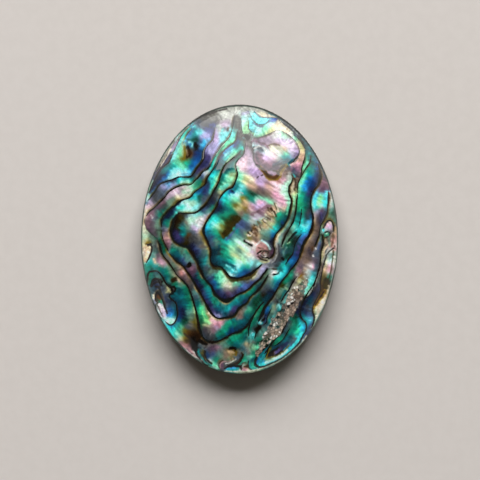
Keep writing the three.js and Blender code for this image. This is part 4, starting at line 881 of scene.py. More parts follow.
    ("black", .06, .8, 4.2, -7.0, 4.55, -7.2), ("cream", .05, .6, -3.4, -8.1, -3.0, -8.6, -2.3, -8.95),
    ("taupe", .16, .5, -.3, -8.75, .35, -8.1), ("lime", .08, .7, -4.1, -8.3, -3.8, -8.9, -3.3, -9.3),
    ("pink", .14, .5, -3.1, -8.9, -2.4, -9.35), ("grey green", .05, .7, 5.3, -4.9, 4.7, -5.8, 4.2, -6.6),
    ("black", .06, .7, 5.05, -7.4, 4.6, -7.1), ("mint", .06, .7, 5.6, -6.25, 5.9, -6.05),
    # The black line along the lower right rim is painted shade on the steep edge, and the ivory line outside
    # it is painted light along the very edge.
    ("black", .08, .9, 7.15, -10.6, 6.75, -11.35, 6.0, -12.25, 5.1, -13, 4.1, -13.6, 3.2, -14, 2.4, -14.28),
    ("ivory", .06, .9, 7.45, -10.85, 6.5, -12, 5.5, -12.85, 4.4, -13.6, 3.2, -14.2, 1.8, -14.6, .4, -14.8),
    ("black", .12, .8, -9.3, -5.3, -8.95, -5.35, -8.75, -5.9),
    ("black", .1, .8, -9.45, -4.95, -9, -4.75, -8.7, -5.1),
    # chips of pearl in the crumbled band, their white painted as glints off the broken faces, and dark gaps
    ("white", .09, .95, 4.25, -10.05, 4.45, -9.9), ("white", .09, .95, 4.65, -10.1, 4.8, -9.95),
    ("black", .08, .9, 4.5, -10.25, 4.3, -10.3), ("white", .08, .95, 2.65, -10.9, 2.85, -10.8),
    ("black", .1, .9, 2.75, -10.65, 3.1, -10.6), ("white", .09, .95, 3.2, -11.5, 3.4, -11.3),
    ("white", .09, .9, 2.4, -12.15, 2.6, -12), ("white", .08, .9, 6.35, -7, 6.5, -6.8),
    ("white", .07, .9, 4.9, -9.5, 5.05, -9.35), ("white", .07, .9, 5.3, -8.85, 5.45, -8.75),
    ("tan", .2, .7, 4.0, -10.35, 4.5, -10.2), ("sand", .2, .6, 5.4, -8.1, 5.7, -7.8),
    ("white", .08, .9, 6.75, -5.2, 7.05, -5.3), ("black", .07, .9, 6.3, -5.75, 6.5, -5.5),
    ("black", .08, .9, 5.95, -6.95, 6.2, -6.8), ("sand", .15, .7, 6.4, -6.3, 6.7, -6.1),
    ("black", .07, .8, 3.6, -10.5, 3.85, -10.4), ("white", .06, .9, 3.55, -10.75, 3.7, -10.65),
    # folds right of the pit, comb strokes, and the squiggles by the right rim
    ("grey green", .07, .8, 4.75, -.9, 4.95, -.4, 5.25, .1, 5.6, .5),
    ("pale green", .06, .85, 5.3, -.45, 5.5, -.35), ("grey teal", .07, .8, 4.85, -1.8, 4.9, -1.3, 5.2, -.9),
    ("black", .06, .85, 6.3, .77, 5.9, .4, 5.55, 0, 5.35, -.35),
    ("black", .12, .9, 4.68, -2.1, 4.82, -2.25), ("turquoise", .13, .9, 4.72, -2.88, 4.78, -2.95),
    ("violet", .1, .7, 6.45, -.7, 6.55, -1.1), ("blue", .1, .75, 5.5, -2.5, 5.7, -2.7),
    ("cream", .06, .85, 3.94, 3.95, 4.3, 3), ("umber", .05, .8, 3.8, 3.95, 4.1, 3.3),
    ("peach", .06, .8, 3.65, 3.5, 4.1, 2.9), ("umber", .05, .8, 3.5, 3.4, 3.95, 2.8),
    ("ivory", .07, .9, 2.85, 2.74, 3.5, 2.12), ("umber", .05, .85, 2.98, 2.46, 3.39, 2.19),
    ("mint", .07, .7, 5.45, 4.8, 5.4, 3.9, 5.24, 2.7), ("deep blue", .1, .6, 4.65, 2, 4.75, 1.8),
    ("black", .06, .9, 10.5, -1, 10.1, -1.25, 9.7, -1.65, 9.5, -2.2, 9.4, -2.8),
    ("pale grey", .06, .8, 10.2, -1, 9.9, -1.3, 9.6, -1.6),
    ("sand", .09, .8, 10.1, -.5, 9.75, -.85, 9.4, -1.25, 9.25, -1.9),
    ("umber", .05, .85, 9.34, -.1, 9.4, -.5, 9.1, -1.3),
    # bands at the upper left, and the crescent under the upper rim
    ("mint", .1, .8, -1.9, 9.9, -1.2, 10.6), ("sky", .1, .75, -1.05, 10.1, -.75, 10.4),
    ("pale cyan", .12, .75, -1.55, 9.2, -1.25, 9.6), ("pale cyan", .13, .7, -1.95, 11.85, -1.85, 12.15),
    ("taupe", .13, .7, -1.3, 12.1, -1.22, 12.3), ("umber", .05, .9, -1.28, 12.18, -1.24, 12.22),
    # The black line on this line, along the top of the rim, is painted shade on the steep edge.
    ("black", .07, .8, -3.8, 13.75, -2.6, 14.2, -1.4, 14.5), ("ivory", .12, .7, 2.2, 14, 2.6, 14),
    ("sky", .16, .7, -1.7, 9.5, -1.1, 9.95), ("mint", .14, .7, -1.2, 9, -.6, 9.5),
    ("turquoise", .12, .6, -1.6, 8.8, -1.2, 9.1), ("pale green", .05, .8, -1.4, 8.5, -.9, 9, -.4, 9.45),
    ("cream", .05, .7, -2.65, 9.3, -2.15, 10.1, -1.65, 10.6, -1.1, 11.4),
    ("slate", .04, .7, .97, 14.2, 1.38, 13.4, 2, 12.7, 2.54, 12.6, 3.3, 13.07),
    ("slate", .05, .75, 1.72, 14.1, 2.34, 13.55, 3.16, 13.48),
    ("violet", .05, .5, 1.5, 12.9, 2.1, 12.5, 2.6, 12.45), ("lavender", .2, .6, .4, 13.9, .9, 14),
    ("teal", .08, .8, 3.3, 14, 4, 13.72, 4.7, 13.3), ("grey green", .1, .7, 9.95, .3, 9.95, -.3, 10.1, -.8),
    ("brown", .08, .6, 10.4, .6, 10.4, -.3, 10.25, -.8), ("sand", .12, .7, 9.55, -.1, 9.7, -.45),
    # The frost, white and pale cyan smears on this line and the next are pale pearl brightened as painted
    # highlights.
    ("frost", .28, .7, -6.1, 5.25, -5.45, 5.5), ("white", .13, .7, -5.9, 5.4, -5.6, 5.45),
    ("white", .2, .5, -4.7, 1.95, -4.4, 1.45), ("pale cyan", .16, .6, -4.9, 2.6, -4.3, 2.75),
    ("sky", .14, .6, -6.2, 7.1, -5.5, 7.15), ("teal", .3, .55, 8.35, 8.8, 8.2, 8),
    ("turquoise", .2, .5, -1.9, 5.6, -1.4, 5.9), ("cyan", .1, .85, 2.2, -9.2, 2.4, -9.27),
    ("white", .05, .9, 2.28, -9.22, 2.34, -9.24), ("cyan", .09, .8, 1.48, -10.45, 1.52, -10.55),
    ("green", .1, .7, 5.62, -4.25, 5.78, -4.35), ("pale green", .06, .8, 5.1, -5.4, 5.3, -5.6),
    # the crisp edge and the folds of the island at the upper right
    ("smoke", .05, .75, 1.57, 10.18, 1.5, 9, 1.83, 8.2, 2.55, 7.7, 3.08, 7.16, 3.6, 7.03),
    ("smoke", .05, .65, 4.26, 8.2, 5.05, 8.6, 5.97, 8.47, 6.5, 9.13, 6.7, 9.8),
    ("slate", .07, .55, 4.1, 8.3, 4.6, 8.75, 5.3, 8.8, 6, 8.6),
    ("mauve", .1, .5, 2.1, 9.3, 2.4, 8.3, 3, 7.7),
)

# The comb: short uneven strokes, pale with dark gaps between them, side by side up the slope from the slit.
COMB_STROKES = 9
for stroke in range(COMB_STROKES):
    comb_x = 1.5 + 0.27 * stroke + 0.08 * np.sin(2.3 * stroke)
    comb_y = 0.5 + 0.32 * stroke + 0.08 * np.sin(3.7 * stroke)
    reach = 0.22 + 0.09 * np.sin(1.9 * stroke)
    cover = 0.45 + 0.25 * np.sin(2.9 * stroke + 1)
    PEARL_MARKS += (
        ("sand", .05, cover, comb_x - reach, comb_y + 0.7 * reach, comb_x + reach, comb_y - 0.7 * reach),
        ("umber", .03, 0.8 - cover, comb_x - 0.1, comb_y + 0.24, comb_x + 0.28, comb_y),
    )

# Crumbled pearl: a band of sugary broken shell down to the foot, and a faint rough streak above the middle.
# Each stop has its place, its half-width and how strongly it shows.
CRUMBLED_BANDS = (
    (
        (7.3, -4.6, .35, .7), (6.9, -5.2, .55, 1), (6.45, -5.9, .75, 1), (6.0, -6.6, .85, 1),
        (5.6, -7.4, .9, 1), (5.0, -8.3, .85, 1), (4.4, -9.2, .85, 1), (3.8, -10.1, .8, 1),
        (3.15, -11, .65, 1), (2.5, -11.9, .42, 1), (1.95, -12.7, .25, .7),
    ),
    ((.9, -.1, .25, .3), (1.7, .5, .5, .55), (2.4, 1.2, .5, .5), (3.1, 2, .5, .5), (3.6, 2.8, .3, .3)),
    ((2.3, -.9, .5, .4), (2.7, -1.6, .5, .5)),
)


def step_up(value, low, high):
    """0 below the low value, 1 above the high one, and an even S-curve between them."""
    t = np.clip((value - low) / (high - low), 0, 1)
    return t * t * (3 - 2 * t)


def way_in_box(px, py, places, reach):
    """The points within reach of a run of straight lines through places, and the way to them from it."""
    spots = np.array(places, float).reshape(-1, 2)
    low = spots.min(axis=0) - reach
    high = spots.max(axis=0) + reach
    some = np.nonzero((px > low[0]) & (px < high[0]) & (py > low[1]) & (py < high[1]))[0]
    way_x = px[some] - spots[0, 0]
    way_y = py[some] - spots[0, 1]
    for (ax, ay), (bx, by) in zip(spots[:-1], spots[1:]):
        dx = bx - ax
        dy = by - ay
        t = np.clip(((px[some] - ax) * dx + (py[some] - ay) * dy) / (dx * dx + dy * dy), 0, 1)
        ex = px[some] - ax - t * dx
        ey = py[some] - ay - t * dy
        closer = ex * ex + ey * ey < way_x * way_x + way_y * way_y
        way_x = np.where(closer, ex, way_x)
        way_y = np.where(closer, ey, way_y)
    return some, way_x, way_y


def side_of_lines(places):
    """Which side of each growth line a patch lies on, 1 or -1, or 0 where it is far from it or on both."""
    spots = np.array(places, float).reshape(-1, 2)
    nearest = [np.argmin((x[on_face] - sx) ** 2 + (y[on_face] - sy) ** 2) for sx, sy in spots]
    sides = line_sides[:, nearest]
    return sides.max(axis=1) * (sides.min(axis=1) >= 0) + sides.min(axis=1) * (sides.max(axis=1) <= 0)


# The pearl's silk: fine streaks that lie across the growth lines, and slant down to the right elsewhere.
SILK_SLANT = math.radians(-37)
SILK_HOLD = 0.35
double = 2 * np.arctan2(across_y, across_x)
pull = np.exp(-nearest_line**2)
comb_up = pull * np.sin(double) + SILK_HOLD * math.sin(2 * SILK_SLANT)
comb_over = pull * np.cos(double) + SILK_HOLD * math.cos(2 * SILK_SLANT)
comb = 0.5 * np.arctan2(comb_up, comb_over)


def streaks(way_x, way_y, paces, pace, size, seed, contrast):
    """Fine streaks, -1 to 1: soft random values smeared both ways along a direction at each point."""
    smeared = np.zeros(len(x))
    for step in range(-paces, paces + 1):
        smeared += cloud(x + pace * step * way_x, y + pace * step * way_y, size, seed)
    return np.clip(smeared / (2 * paces + 1) * contrast, -1, 1)


silk = streaks(np.cos(comb), np.sin(comb), 6, 0.12, 0.17, 11, 3)
weft = streaks(np.cos(comb), np.sin(comb), 5, 0.25, 0.42, 25, 2.4)
thread = streaks(np.sin(comb), -np.cos(comb), 7, 0.1, 0.15, 26, 3.2) * pull

# The patches are blended. Beside a growth line a patch reaches furthest along the line, and elsewhere along
# the silk. It hardly reaches past a line at all.
PATCH_REACH = 2.6
PAST_A_LINE = 0.004
patch_x = x + 0.12 * cloud(x, y, 0.9, 12) + 0.03 * cloud(x, y, 0.3, 13) + 0.13 * silk * np.cos(comb)
patch_y = y + 0.12 * cloud(x, y, 0.9, 14) + 0.03 * cloud(x, y, 0.3, 15) + 0.13 * silk * np.sin(comb)
total = np.full(len(x), 1e-6)
tint = np.tile(np.array(PEARL["teal"]) / 255 * 1e-6, (len(x), 1))
for name, size, *places in PEARL_PATCHES:
    some, way_x, way_y = way_in_box(patch_x, patch_y, places, PATCH_REACH)
    with_silk = way_x * np.cos(comb[some]) + way_y * np.sin(comb[some])
    over_silk = way_y * np.cos(comb[some]) - way_x * np.sin(comb[some])
    away = ((0.8 + 0.45 * pull[some]) * with_silk) ** 2 + ((1.15 - 0.55 * pull[some]) * over_silk) ** 2
    weight = size**2 / (away + 0.03) * np.exp(-away / 0.5)
    patch_sides = side_of_lines(places)
    near_lines = np.nonzero(patch_sides)[0]
    beyond = (line_sides[near_lines][:, some] * patch_sides[near_lines, None] < 0).any(axis=0)
    weight *= np.where(beyond, PAST_A_LINE, 1)
    total[some] += weight
    tint[some] += weight[:, None] * np.array(PEARL[name]) / 255
tint /= total[:, None]

# The colours are deepened, darkened by the painted shade beside the lines (less on the palest colours) and
# edged with gold. The marks lie on top.
FRINGE_GOLD = np.array([0.24, 0.17, 0.02])
FRINGE_PALER = np.array([0.5, 0.47, 0.42])
MARK_REACH = 1.2
grey_of = tint.mean(axis=1, keepdims=True)
tint = (grey_of + 1.15 * (tint - grey_of)) * (0.8 + 0.85 * grey_of * (1 - 0.75 * grey_of))
tint *= 1 - (0.68 - 0.5 * step_up(grey_of, 0.42, 0.78)) * painted_line_shade[:, None]
paler = step_up(nearest_line + 0.08 * cloud(x, y, 0.6, 16), 0.14, 0.34)
edge_colour = FRINGE_GOLD + paler[:, None] * FRINGE_PALER
tint += (edge_colour - tint) * gold_edge[:, None]
for name, size, cover, *places in PEARL_MARKS:
    if len(places) > 4:
        places = smooth_path(np.array(places).reshape(-1, 2), 0.25)
    some, way_x, way_y = way_in_box(x + 0.3 * (patch_x - x), y + 0.3 * (patch_y - y), places, MARK_REACH)
    away = np.hypot(way_x, way_y)
    ragged = size * (1 + 0.35 * cloud(x[some], y[some], 0.3, 17))
    here = cover * (1 - step_up(away, 0.7 * ragged, 1.25 * ragged + 0.05))
    tint[some] += (np.array(PEARL[name]) / 255 - tint[some]) * here[:, None]

# How strongly the crumbled bands show at each point.
crumbled = np.zeros(len(x))
for stops in CRUMBLED_BANDS:
    for (ax, ay, a_half, a_show), (bx, by, b_half, b_show) in zip(stops[:-1], stops[1:]):
        span = (bx - ax) ** 2 + (by - ay) ** 2
        t = np.clip(((x - ax) * (bx - ax) + (y - ay) * (by - ay)) / span, 0, 1)
        away = np.hypot(x - ax - t * (bx - ax), y - ay - t * (by - ay))
        half = a_half + (b_half - a_half) * t
        ragged = away + 0.16 * cloud(x, y, 0.5, 18) + 0.1 * cloud(x, y, 0.2, 19)
        shows = a_show + (b_show - a_show) * t
        crumbled = np.maximum(crumbled, shows * (1 - step_up(ragged, 0.7 * half, 1.15 * half)))

# The streaks lighten and darken the pearl. A dark green band is painted round the foot of the dome as
# painted shade on its steep edge, fainter towards the lower right end. The girdle and the back take the same
# dark green as their own colour.
out = np.hypot(x / HALF_WIDTH, y / HALF_LENGTH)
glow = 1 + 0.17 * silk + 0.12 * weft + 0.13 * thread + 0.08 * cloud(x, y, 0.25, 20)
tint *= glow[:, None]
foot = step_up(-y / HALF_LENGTH + 0.3 * x / HALF_WIDTH, 0.7, 0.95)
rim_shade_and_girdle_green = (0.8 - 0.5 * foot) * step_up(out + 0.003 * cloud(x, y, 0.8, 21), 0.98, 0.992)
rim_shade_and_girdle_green = np.where(on_face, rim_shade_and_girdle_green, 0.85)
tint += (np.array(PEARL["dark green"]) / 255 * 0.6 - tint) * rim_shade_and_girdle_green[:, None]
tint = np.clip(tint, 0.003, 1) ** 2.2

# Near the rim the polish is worn thin, and most of all round the lower end.
edge = np.maximum(step_up(out, 0.972, 0.992), 0.85 * step_up(out, 0.8, 0.94) * (1 - step_up(y, 5, 9)))

# Towards the upper end, where the window shows in the polish, the pearl is painted a little darker and
# duller: painted shade that offsets that reflection. Towards the rim it is painted a little lighter: painted
# light where the lamp above reaches it less.
painted_glare_shade = step_up(y + 0.5 * cloud(x, y, 1.0, 27), 8.4, 10.6)
painted_glare_shade = painted_glare_shade * step_up(x + 2.7 + 0.32 * (y - 7.7), -0.4, 0.4) * (1 - step_up(x, 6.2, 7.6))
tint = np.maximum(tint - 0.1 * painted_glare_shade[:, None], 0.4 * tint)
tint /= (1 - 0.22 * out**6)[:, None]
tint = np.clip(tint, 0, 1)

# The polish leaves the crumbled band, the slit and the pit a little below the face, and the hard growth
# lines a hair below the pearl beside them. Each hollow has its half-width, its depth and its places.
HOLLOWS = (
    (.16, .03, .35, -.05, .9, -.35, 1.4, -.72), (.3, .08, 2.3, -1.4, 2.8, -1.7), (.2, .06, -7.4, -5.6),
    (.18, .05, -5.6, -2.8),
)
sunk = 0.07 * crumbled * (0.6 + 0.4 * cloud(x, y, 0.35, 22)) + 0.012 * (1 - step_up(line_ratio, 0.6, 1.4))
for size, depth, *places in HOLLOWS:
    some, way_x, way_y = way_in_box(x, y, places, 1.0)
    away = np.hypot(way_x, way_y)
    sunk[some] += depth * (1 - step_up(away, 0.3 * size, 1.3 * size))
z = z - np.where(on_face, sunk * step_up(1 - out, 0.01, 0.05), 0)

# The net is closed into one skin: the face, the girdle, the bevel and the flat back, all wound with their
# fronts outwards. Its unwrapped skin has two islands, the face with the girdle round it and the flat back
# beside them.
ring_starts = face_out.size + np.arange(len(SKIN_RINGS)) * len(edge_points)
ring_points = ring_starts[:, None] + np.arange(len(edge_points))[None, :]
loops = np.vstack([edge_points[None, :], ring_points])
upper = loops[:-1]
lower = loops[1:]
cells = [point_number[:-1, :-1], point_number[1:, :-1], point_number[1:, 1:], point_number[:-1, 1:]]
quads = np.concatenate([
    np.stack(cells, axis=-1).reshape(-1, 4),
    np.stack([upper, lower, np.roll(lower, -1, axis=1), np.roll(upper, -1, axis=1)], axis=-1).reshape(-1, 4),
])
middle = len(x) - 1
fan = np.stack([loops[-1], np.full(len(edge_points), middle), np.roll(loops[-1], -1)], axis=-1)

ring_run = 1 + 0.08 * np.arange(1, len(SKIN_RINGS) + 1) / SIDE_RINGS
skin_run = np.concatenate([face_run.ravel(), np.repeat(ring_run, len(edge_points)), [2.0]])
skin_angle = np.concatenate([face_angle.ravel(), np.tile(edge_angle, len(SKIN_RINGS)), [0.0]])
face_u = 0.375 + 0.325 * skin_run * np.cos(skin_angle)
face_v = 0.5 + 0.45 * skin_run * np.sin(skin_angle)
face_skin = np.stack([face_u, face_v], axis=-1)
back_skin = np.stack([0.865 + 0.12 * x / HALF_WIDTH, 0.5 + 0.164 * y / HALF_LENGTH], axis=-1)

stone_mesh = bpy.data.meshes.new("abalone_cabochon_skin")
points = np.stack([x, y, z], axis=-1) * MM
stone_mesh.from_pydata(points.tolist(), [], quads.tolist() + fan.tolist())
corner = np.empty(len(stone_mesh.loops), dtype=np.int64)
stone_mesh.loops.foreach_get("vertex_index", corner)
face_count = (CELLS_ACROSS * CELLS_ALONG + SIDE_RINGS * len(edge_points)) * 4
corner_skin = np.where((np.arange(len(corner)) < face_count)[:, None], face_skin[corner], back_skin[corner])
unwrap = stone_mesh.uv_layers.new(name="OFBake")
unwrap.data.foreach_set("uv", corner_skin.ravel())
SKIN_VALUES = (
    ("growth_line", line_ratio), ("silk", silk), ("crumbled", crumbled), ("back_face", on_back),
    ("edge", edge),
)
for name, values in SKIN_VALUES:
    layer = stone_mesh.attributes.new(name, "FLOAT", "POINT")
    layer.data.foreach_set("value", values)
layer = stone_mesh.attributes.new("pearl_tint", "FLOAT_COLOR", "POINT")
layer.data.foreach_set("color", np.column_stack([tint, np.ones(len(x))]).ravel())
for polygon in stone_mesh.polygons:
    polygon.use_smooth = True
stone = bpy.data.objects.new("abalone_cabochon_stone", stone_mesh)
bpy.context.scene.collection.objects.link(stone)


def add(tree, kind, inputs=None, **settings):
    """A node of one kind, with its settings. Its inputs are plain values or other nodes' outputs."""
    made = tree.nodes.new(kind)
    for name, value in settings.items():
        setattr(made, name, value)
    for name, value in (inputs or {}).items():
        if isinstance(value, bpy.types.NodeSocket):
            tree.links.new(value, made.inputs[name])
        else:
            made.inputs[name].default_value = value
    return made


def blend(tree, factor, first, second, way="MIX"):
    """One colour laid over another."""
    return add(tree, "ShaderNodeMixRGB", {0: factor, 1: first, 2: second}, blend_type=way).outputs[0]


def sums(tree, way, first, second=0.0):
    """One sum on one or two values."""
    return add(tree, "ShaderNodeMath", {0: first, 1: second}, operation=way).outputs[0]


def fade(tree, value, low, high, at_low=0.0, at_high=1.0):
    """An S-curve from one value to another."""
    inputs = {0: value, 1: low, 2: high, 3: at_low, 4: at_high}
    return add(tree, "ShaderNodeMapRange", inputs, interpolation_type="SMOOTHSTEP").outputs[0]


def grain(tree, place, size, detail=2.0, roughness=0.5):
    """Soft noise, 0 to 1, with grains of one size in millimetres."""
    inputs = {"Vector": place, "Scale": 1 / size, "Detail": detail, "Roughness": roughness}
    return add(tree, "ShaderNodeTexNoise", inputs).outputs["Fac"]


def place_in_mm(tree):
    """Each point's place on the piece itself, in millimetres."""
    inputs = {0: add(tree, "ShaderNodeTexCoord").outputs["Object"], 1: (1000, 1000, 1000)}
    return add(tree, "ShaderNodeVectorMath", inputs, operation="MULTIPLY").outputs[0]


pearl = bpy.data.materials.new("abalone_pearl")
pearl.use_nodes = True
tree = pearl.node_tree
tree.nodes.clear()
place = place_in_mm(tree)
pearl_tint = add(tree, "ShaderNodeAttribute", attribute_name="pearl_tint").outputs["Color"]
growth_line = add(tree, "ShaderNodeAttribute", attribute_name="growth_line").outputs["Fac"]
silk_value = add(tree, "ShaderNodeAttribute", attribute_name="silk").outputs["Fac"]
crumble = add(tree, "ShaderNodeAttribute", attribute_name="crumbled").outputs["Fac"]
back_value = add(tree, "ShaderNodeAttribute", attribute_name="back_face").outputs["Fac"]
height = add(tree, "ShaderNodeSeparateXYZ", {0: place}).outputs["Z"]

# The growth lines, frayed by fine noise, between brown-black and a bottle green.
fray = grain(tree, place, 0.22)
frayed = sums(tree, "ADD", growth_line, sums(tree, "MULTIPLY", sums(tree, "SUBTRACT", fray, 0.5), 0.7))
line_mask = fade(tree, frayed, 0.5, 1.1, 1.0, 0.0)
LINE_BROWN = (0.004, 0.002, 0.001, 1)
LINE_GREEN = (0.001, 0.006, 0.006, 1)
line_colour = blend(tree, fade(tree, grain(tree, place, 1.4), 0.42, 0.62), LINE_BROWN, LINE_GREEN)
fine = fade(tree, grain(tree, place, 0.1, 1.0), 0.25, 0.75, 0.86, 1.14)
sparkle = add(tree, "ShaderNodeCombineXYZ", {0: fine, 1: fine, 2: fine}).outputs[0]
colour = blend(tree, 1.0, pearl_tint, sparkle, "MULTIPLY")
colour = blend(tree, line_mask, colour, line_colour)

# The crumbled band: close grains of tan, grey and white, with dark gaps between some of them.
grain_cells = {"Vector": place, "Scale": 3.1, "Randomness": 1.0}
grains = add(tree, "ShaderNodeTexVoronoi", grain_cells)
grain_pick = add(tree, "ShaderNodeSeparateColor", {0: grains.outputs["Color"]}).outputs[0]
ramp = add(tree, "ShaderNodeValToRGB", {0: grain_pick})
ramp.color_ramp.interpolation = "CONSTANT"
GRAIN_COLOURS = (
    (0.0, (0.012, 0.008, 0.006)), (0.11, (0.14, 0.095, 0.07)), (0.26, (0.42, 0.31, 0.24)),
    (0.5, (0.28, 0.21, 0.165)), (0.62, (0.60, 0.46, 0.36)), (0.82, (0.27, 0.26, 0.23)),
    (0.88, (0.9, 0.86, 0.8)),
)
while len(ramp.color_ramp.elements) < len(GRAIN_COLOURS):
    ramp.color_ramp.elements.new(0.5)
for stop, (position, (red, green, blue)) in zip(ramp.color_ramp.elements, GRAIN_COLOURS):
    stop.position = position
    stop.color = (red, green, blue, 1)
gaps = add(tree, "ShaderNodeTexVoronoi", grain_cells, feature="DISTANCE_TO_EDGE").outputs[0]
gap_mask = fade(tree, gaps, 0.02, 0.16, 0.75, 0.0)
rubble = blend(tree, gap_mask, ramp.outputs[0], (0.03, 0.024, 0.018, 1))
rubble = blend(tree, 0.14, rubble, pearl_tint)
uneven = sums(tree, "MULTIPLY", sums(tree, "SUBTRACT", grain(tree, place, 0.4), 0.5), 0.5)
rubble_mask = fade(tree, sums(tree, "ADD", crumble, uneven), 0.25, 0.75)
thinning = sums(tree, "MINIMUM", sums(tree, "MULTIPLY", crumble, 1.3), 1.0)
rubble_mask = sums(tree, "MULTIPLY", rubble_mask, thinning)
colour = blend(tree, rubble_mask, colour, rubble)

# On the girdle the same layers are cut straight across, as thin strata of green, brown and grey.
strata_wave = sums(tree, "ADD", height, sums(tree, "MULTIPLY", grain(tree, place, 2.5), 0.9))
strata_place = add(tree, "ShaderNodeCombineXYZ", {0: 0.0, 1: 0.0, 2: strata_wave}).outputs[0]
strata = add(tree, "ShaderNodeTexNoise", {"Vector": strata_place, "Scale": 6.0, "Detail": 3.0}).outputs["Fac"]
STRATA_DARK = (0.012, 0.022, 0.018, 1)
STRATA_PALE = (0.16, 0.19, 0.13, 1)
strata_colour = blend(tree, fade(tree, strata, 0.35, 0.65), STRATA_DARK, STRATA_PALE)
girdle_mask = fade(tree, height, 1.25, 1.5, 0.75, 0.0)
colour = blend(tree, girdle_mask, colour, strata_colour)

# The flat back is only sawn and smoothed: broad wandering bands of grey-green and brown, and little shine.
wander = grain(tree, place, 7.0, 3.0, 0.55)
bands = add(tree, "ShaderNodeMath", {0: sums(tree, "MULTIPLY", wander, 42.0)}, operation="SINE").outputs[0]
BACK_DARK = (0.035, 0.055, 0.05, 1)
BACK_PALE = (0.26, 0.30, 0.25, 1)
BACK_BROWN = (0.16, 0.10, 0.06, 1)
BACK_SEAM = (0.012, 0.009, 0.006, 1)
back_colour = blend(tree, fade(tree, bands, -0.7, 0.8), BACK_DARK, BACK_PALE)
back_colour = blend(tree, fade(tree, grain(tree, place, 3.0), 0.5, 0.62), back_colour, BACK_BROWN)
back_colour = blend(tree, fade(tree, bands, -1.0, -0.86, 1.0, 0.0), back_colour, BACK_SEAM)
colour = blend(tree, back_value, colour, back_colour)

# The shine: silky pearl under a clear polish. The lines, the crumbled band and the back are duller.
rough = fade(tree, silk_value, -1.0, 1.0, 0.3, 0.42)
rough = sums(tree, "ADD", rough, sums(tree, "MULTIPLY", line_mask, 0.15))
rough = sums(tree, "ADD", rough, sums(tree, "MULTIPLY", rubble_mask, 0.2))
rough = sums(tree, "ADD", rough, sums(tree, "MULTIPLY", back_value, 0.2))
dull = sums(tree, "MAXIMUM", line_mask, sums(tree, "MAXIMUM", rubble_mask, back_value))
metal = sums(tree, "MULTIPLY", sums(tree, "SUBTRACT", 1.0, dull), 0.05)
grain_lump = sums(tree, "MULTIPLY", grains.outputs["Distance"], sums(tree, "MULTIPLY", rubble_mask, 6.0))
lump = sums(tree, "ADD", sums(tree, "MULTIPLY", silk_value, 0.5), grain_lump)
lump = sums(tree, "SUBTRACT", lump, sums(tree, "MULTIPLY", line_mask, 0.8))
lump = sums(tree, "ADD", lump, sums(tree, "MULTIPLY", fray, 0.5))
bump = add(tree, "ShaderNodeBump", {"Strength": 0.6, "Distance": 0.00003, "Height": lump}).outputs[0]
edge_value = add(tree, "ShaderNodeAttribute", attribute_name="edge").outputs["Fac"]
coat = fade(tree, edge_value, 0.0, 1.0, 1.0, 0.06)
shader = add(tree, "ShaderNodeBsdfPrincipled", {
    "Base Color": colour, "Roughness": rough, "Metallic": metal, "Normal": bump, "IOR": 1.53,
    "Coat Weight": coat, "Coat Roughness": 0.03, "Coat IOR": 2.0, "Specular IOR Level": 0.2,
})
add(tree, "ShaderNodeOutputMaterial", {0: shader.outputs[0]})
stone_mesh.materials.append(pearl)

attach(stone, "root")
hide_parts("abalone_cabochon")

# ----------------------------------------------------------------------------------------------------------
# The table top: a pale, warm grey matt board with a faint paper grain, under the stone's flat back.
# ----------------------------------------------------------------------------------------------------------
BOARD_HALF = 4.0
board_mesh = bpy.data.meshes.new("board_skin")
BOARD_SIGNS = ((-1, -1), (1, -1), (1, 1), (-1, 1))
board_corners = [(BOARD_HALF * across, BOARD_HALF * along, 0) for across, along in BOARD_SIGNS]
board_mesh.from_pydata(board_corners, [], [(0, 1, 2, 3)])
board = bpy.data.objects.new("table_board", board_mesh)
bpy.context.scene.collection.objects.link(board)
paper = bpy.data.materials.new("board_paper")
paper.use_nodes = True
tree = paper.node_tree
tree.nodes.clear()
place = place_in_mm(tree)
fibre = grain(tree, place, 1.2, 4.0, 0.6)
cast = grain(tree, place, 60.0, 2.0, 0.5)
paper_colour = blend(tree, fade(tree, fibre, 0.3, 0.7), (0.585, 0.555, 0.53, 1), (0.605, 0.575, 0.55, 1))
paper_colour = blend(tree, fade(tree, cast, 0.3, 0.7, 0.0, 0.3), paper_colour, (0.6, 0.575, 0.56, 1))
paper_bump = add(tree, "ShaderNodeBump", {"Strength": 0.15, "Distance": 0.00003, "Height": fibre}).outputs[0]
paper_rough = fade(tree, fibre, 0.2, 0.8, 0.8, 0.9)
shader = add(tree, "ShaderNodeBsdfPrincipled", {
    "Base Color": paper_colour, "Roughness": paper_rough, "Normal": paper_bump, "Specular IOR Level": 0.2,
})
add(tree, "ShaderNodeOutputMaterial", {0: shader.outputs[0]})
board_mesh.materials.append(paper)

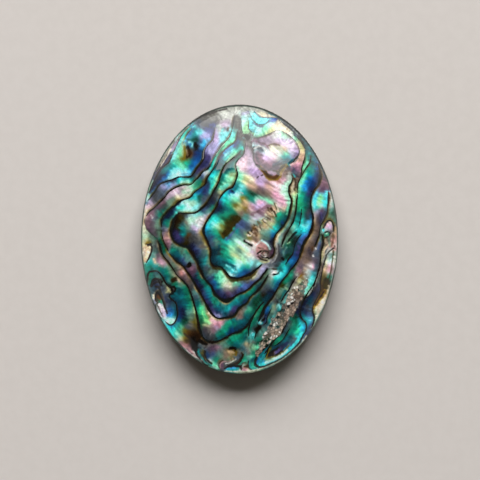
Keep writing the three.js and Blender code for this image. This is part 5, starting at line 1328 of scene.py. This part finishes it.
# ----------------------------------------------------------------------------------------------------------
# The light: a tall window behind the stone, seen in the upper part of the dome; a lamp low behind it, which
# lays its shadow on the board; a wide soft lamp above it for the pearl; and a dim room.
# ----------------------------------------------------------------------------------------------------------
def soft_lamp(name, width, tall, glow, place, turn):
    """A rectangular lamp of one brightness all over."""
    light = bpy.data.lights.new(name, "AREA")
    light.shape = "RECTANGLE"
    light.size = width
    light.size_y = tall
    light.energy = 4 * glow * width * tall
    light.color = (1.0, 0.985, 0.97)
    lamp = bpy.data.objects.new(name, light)
    lamp.location = place
    lamp.rotation_euler = (math.radians(turn), 0, 0)
    lamp.visible_camera = False
    bpy.context.scene.collection.objects.link(lamp)
    return lamp


def shine_only_on(lamp, thing):
    """The lamp lights one thing only, though other things still cast their shadows in its light."""
    lit = bpy.data.collections.new(lamp.name + "_lights")
    lit.objects.link(thing)
    lamp.light_linking.receiver_collection = lit


window = soft_lamp("window", 1.46, 1.86, 1.15, (0.22, 0.8, 0.95), -90)
window.visible_diffuse = False
low_lamp = soft_lamp("low_lamp", 1.1, 0.46, 10.4, (0, 0.83, 0.56), -56)
low_lamp.visible_glossy = False
shine_only_on(low_lamp, board)
high_lamp = soft_lamp("high_lamp", 0.6, 0.6, 2.52, (0, 0.1, 0.5), 0)
high_lamp.visible_glossy = False
shine_only_on(high_lamp, stone)

room = bpy.data.worlds.new("room")
room.use_nodes = True
tree = room.node_tree
tree.nodes.clear()
aim = add(tree, "ShaderNodeTexCoord").outputs["Generated"]
lift = add(tree, "ShaderNodeSeparateXYZ", {0: aim}).outputs["Z"]
WALL_GREY = (0.52, 0.5, 0.485, 1)
CEILING_DARK = (0.036, 0.025, 0.015, 1)
walls = fade(tree, lift, math.sin(math.radians(10)), math.sin(math.radians(26)))
room_colour = blend(tree, walls, WALL_GREY, CEILING_DARK)
glow = add(tree, "ShaderNodeBackground", {"Color": room_colour, "Strength": 1.0})
add(tree, "ShaderNodeOutputWorld", {0: glow.outputs[0]})
bpy.context.scene.world = room
bpy.context.scene.view_settings.view_transform = "Standard"

# ----------------------------------------------------------------------------------------------------------
# The camera: straight above the stone, 0.4 m up, with a long lens, so that the stone is seen nearly without
# perspective and fills a little over half of the frame.
# ----------------------------------------------------------------------------------------------------------
CAMERA_HEIGHT = 0.4
LENS_LENGTH = 268.1
lens = bpy.data.cameras.new("camera")
lens.sensor_width = 36
lens.lens = LENS_LENGTH
lens.clip_start = 0.01
lens.clip_end = 20
camera = bpy.data.objects.new("camera", lens)
camera.location = (0.056 * MM, -0.11 * MM, CAMERA_HEIGHT)
bpy.context.scene.collection.objects.link(camera)
bpy.context.scene.camera = camera
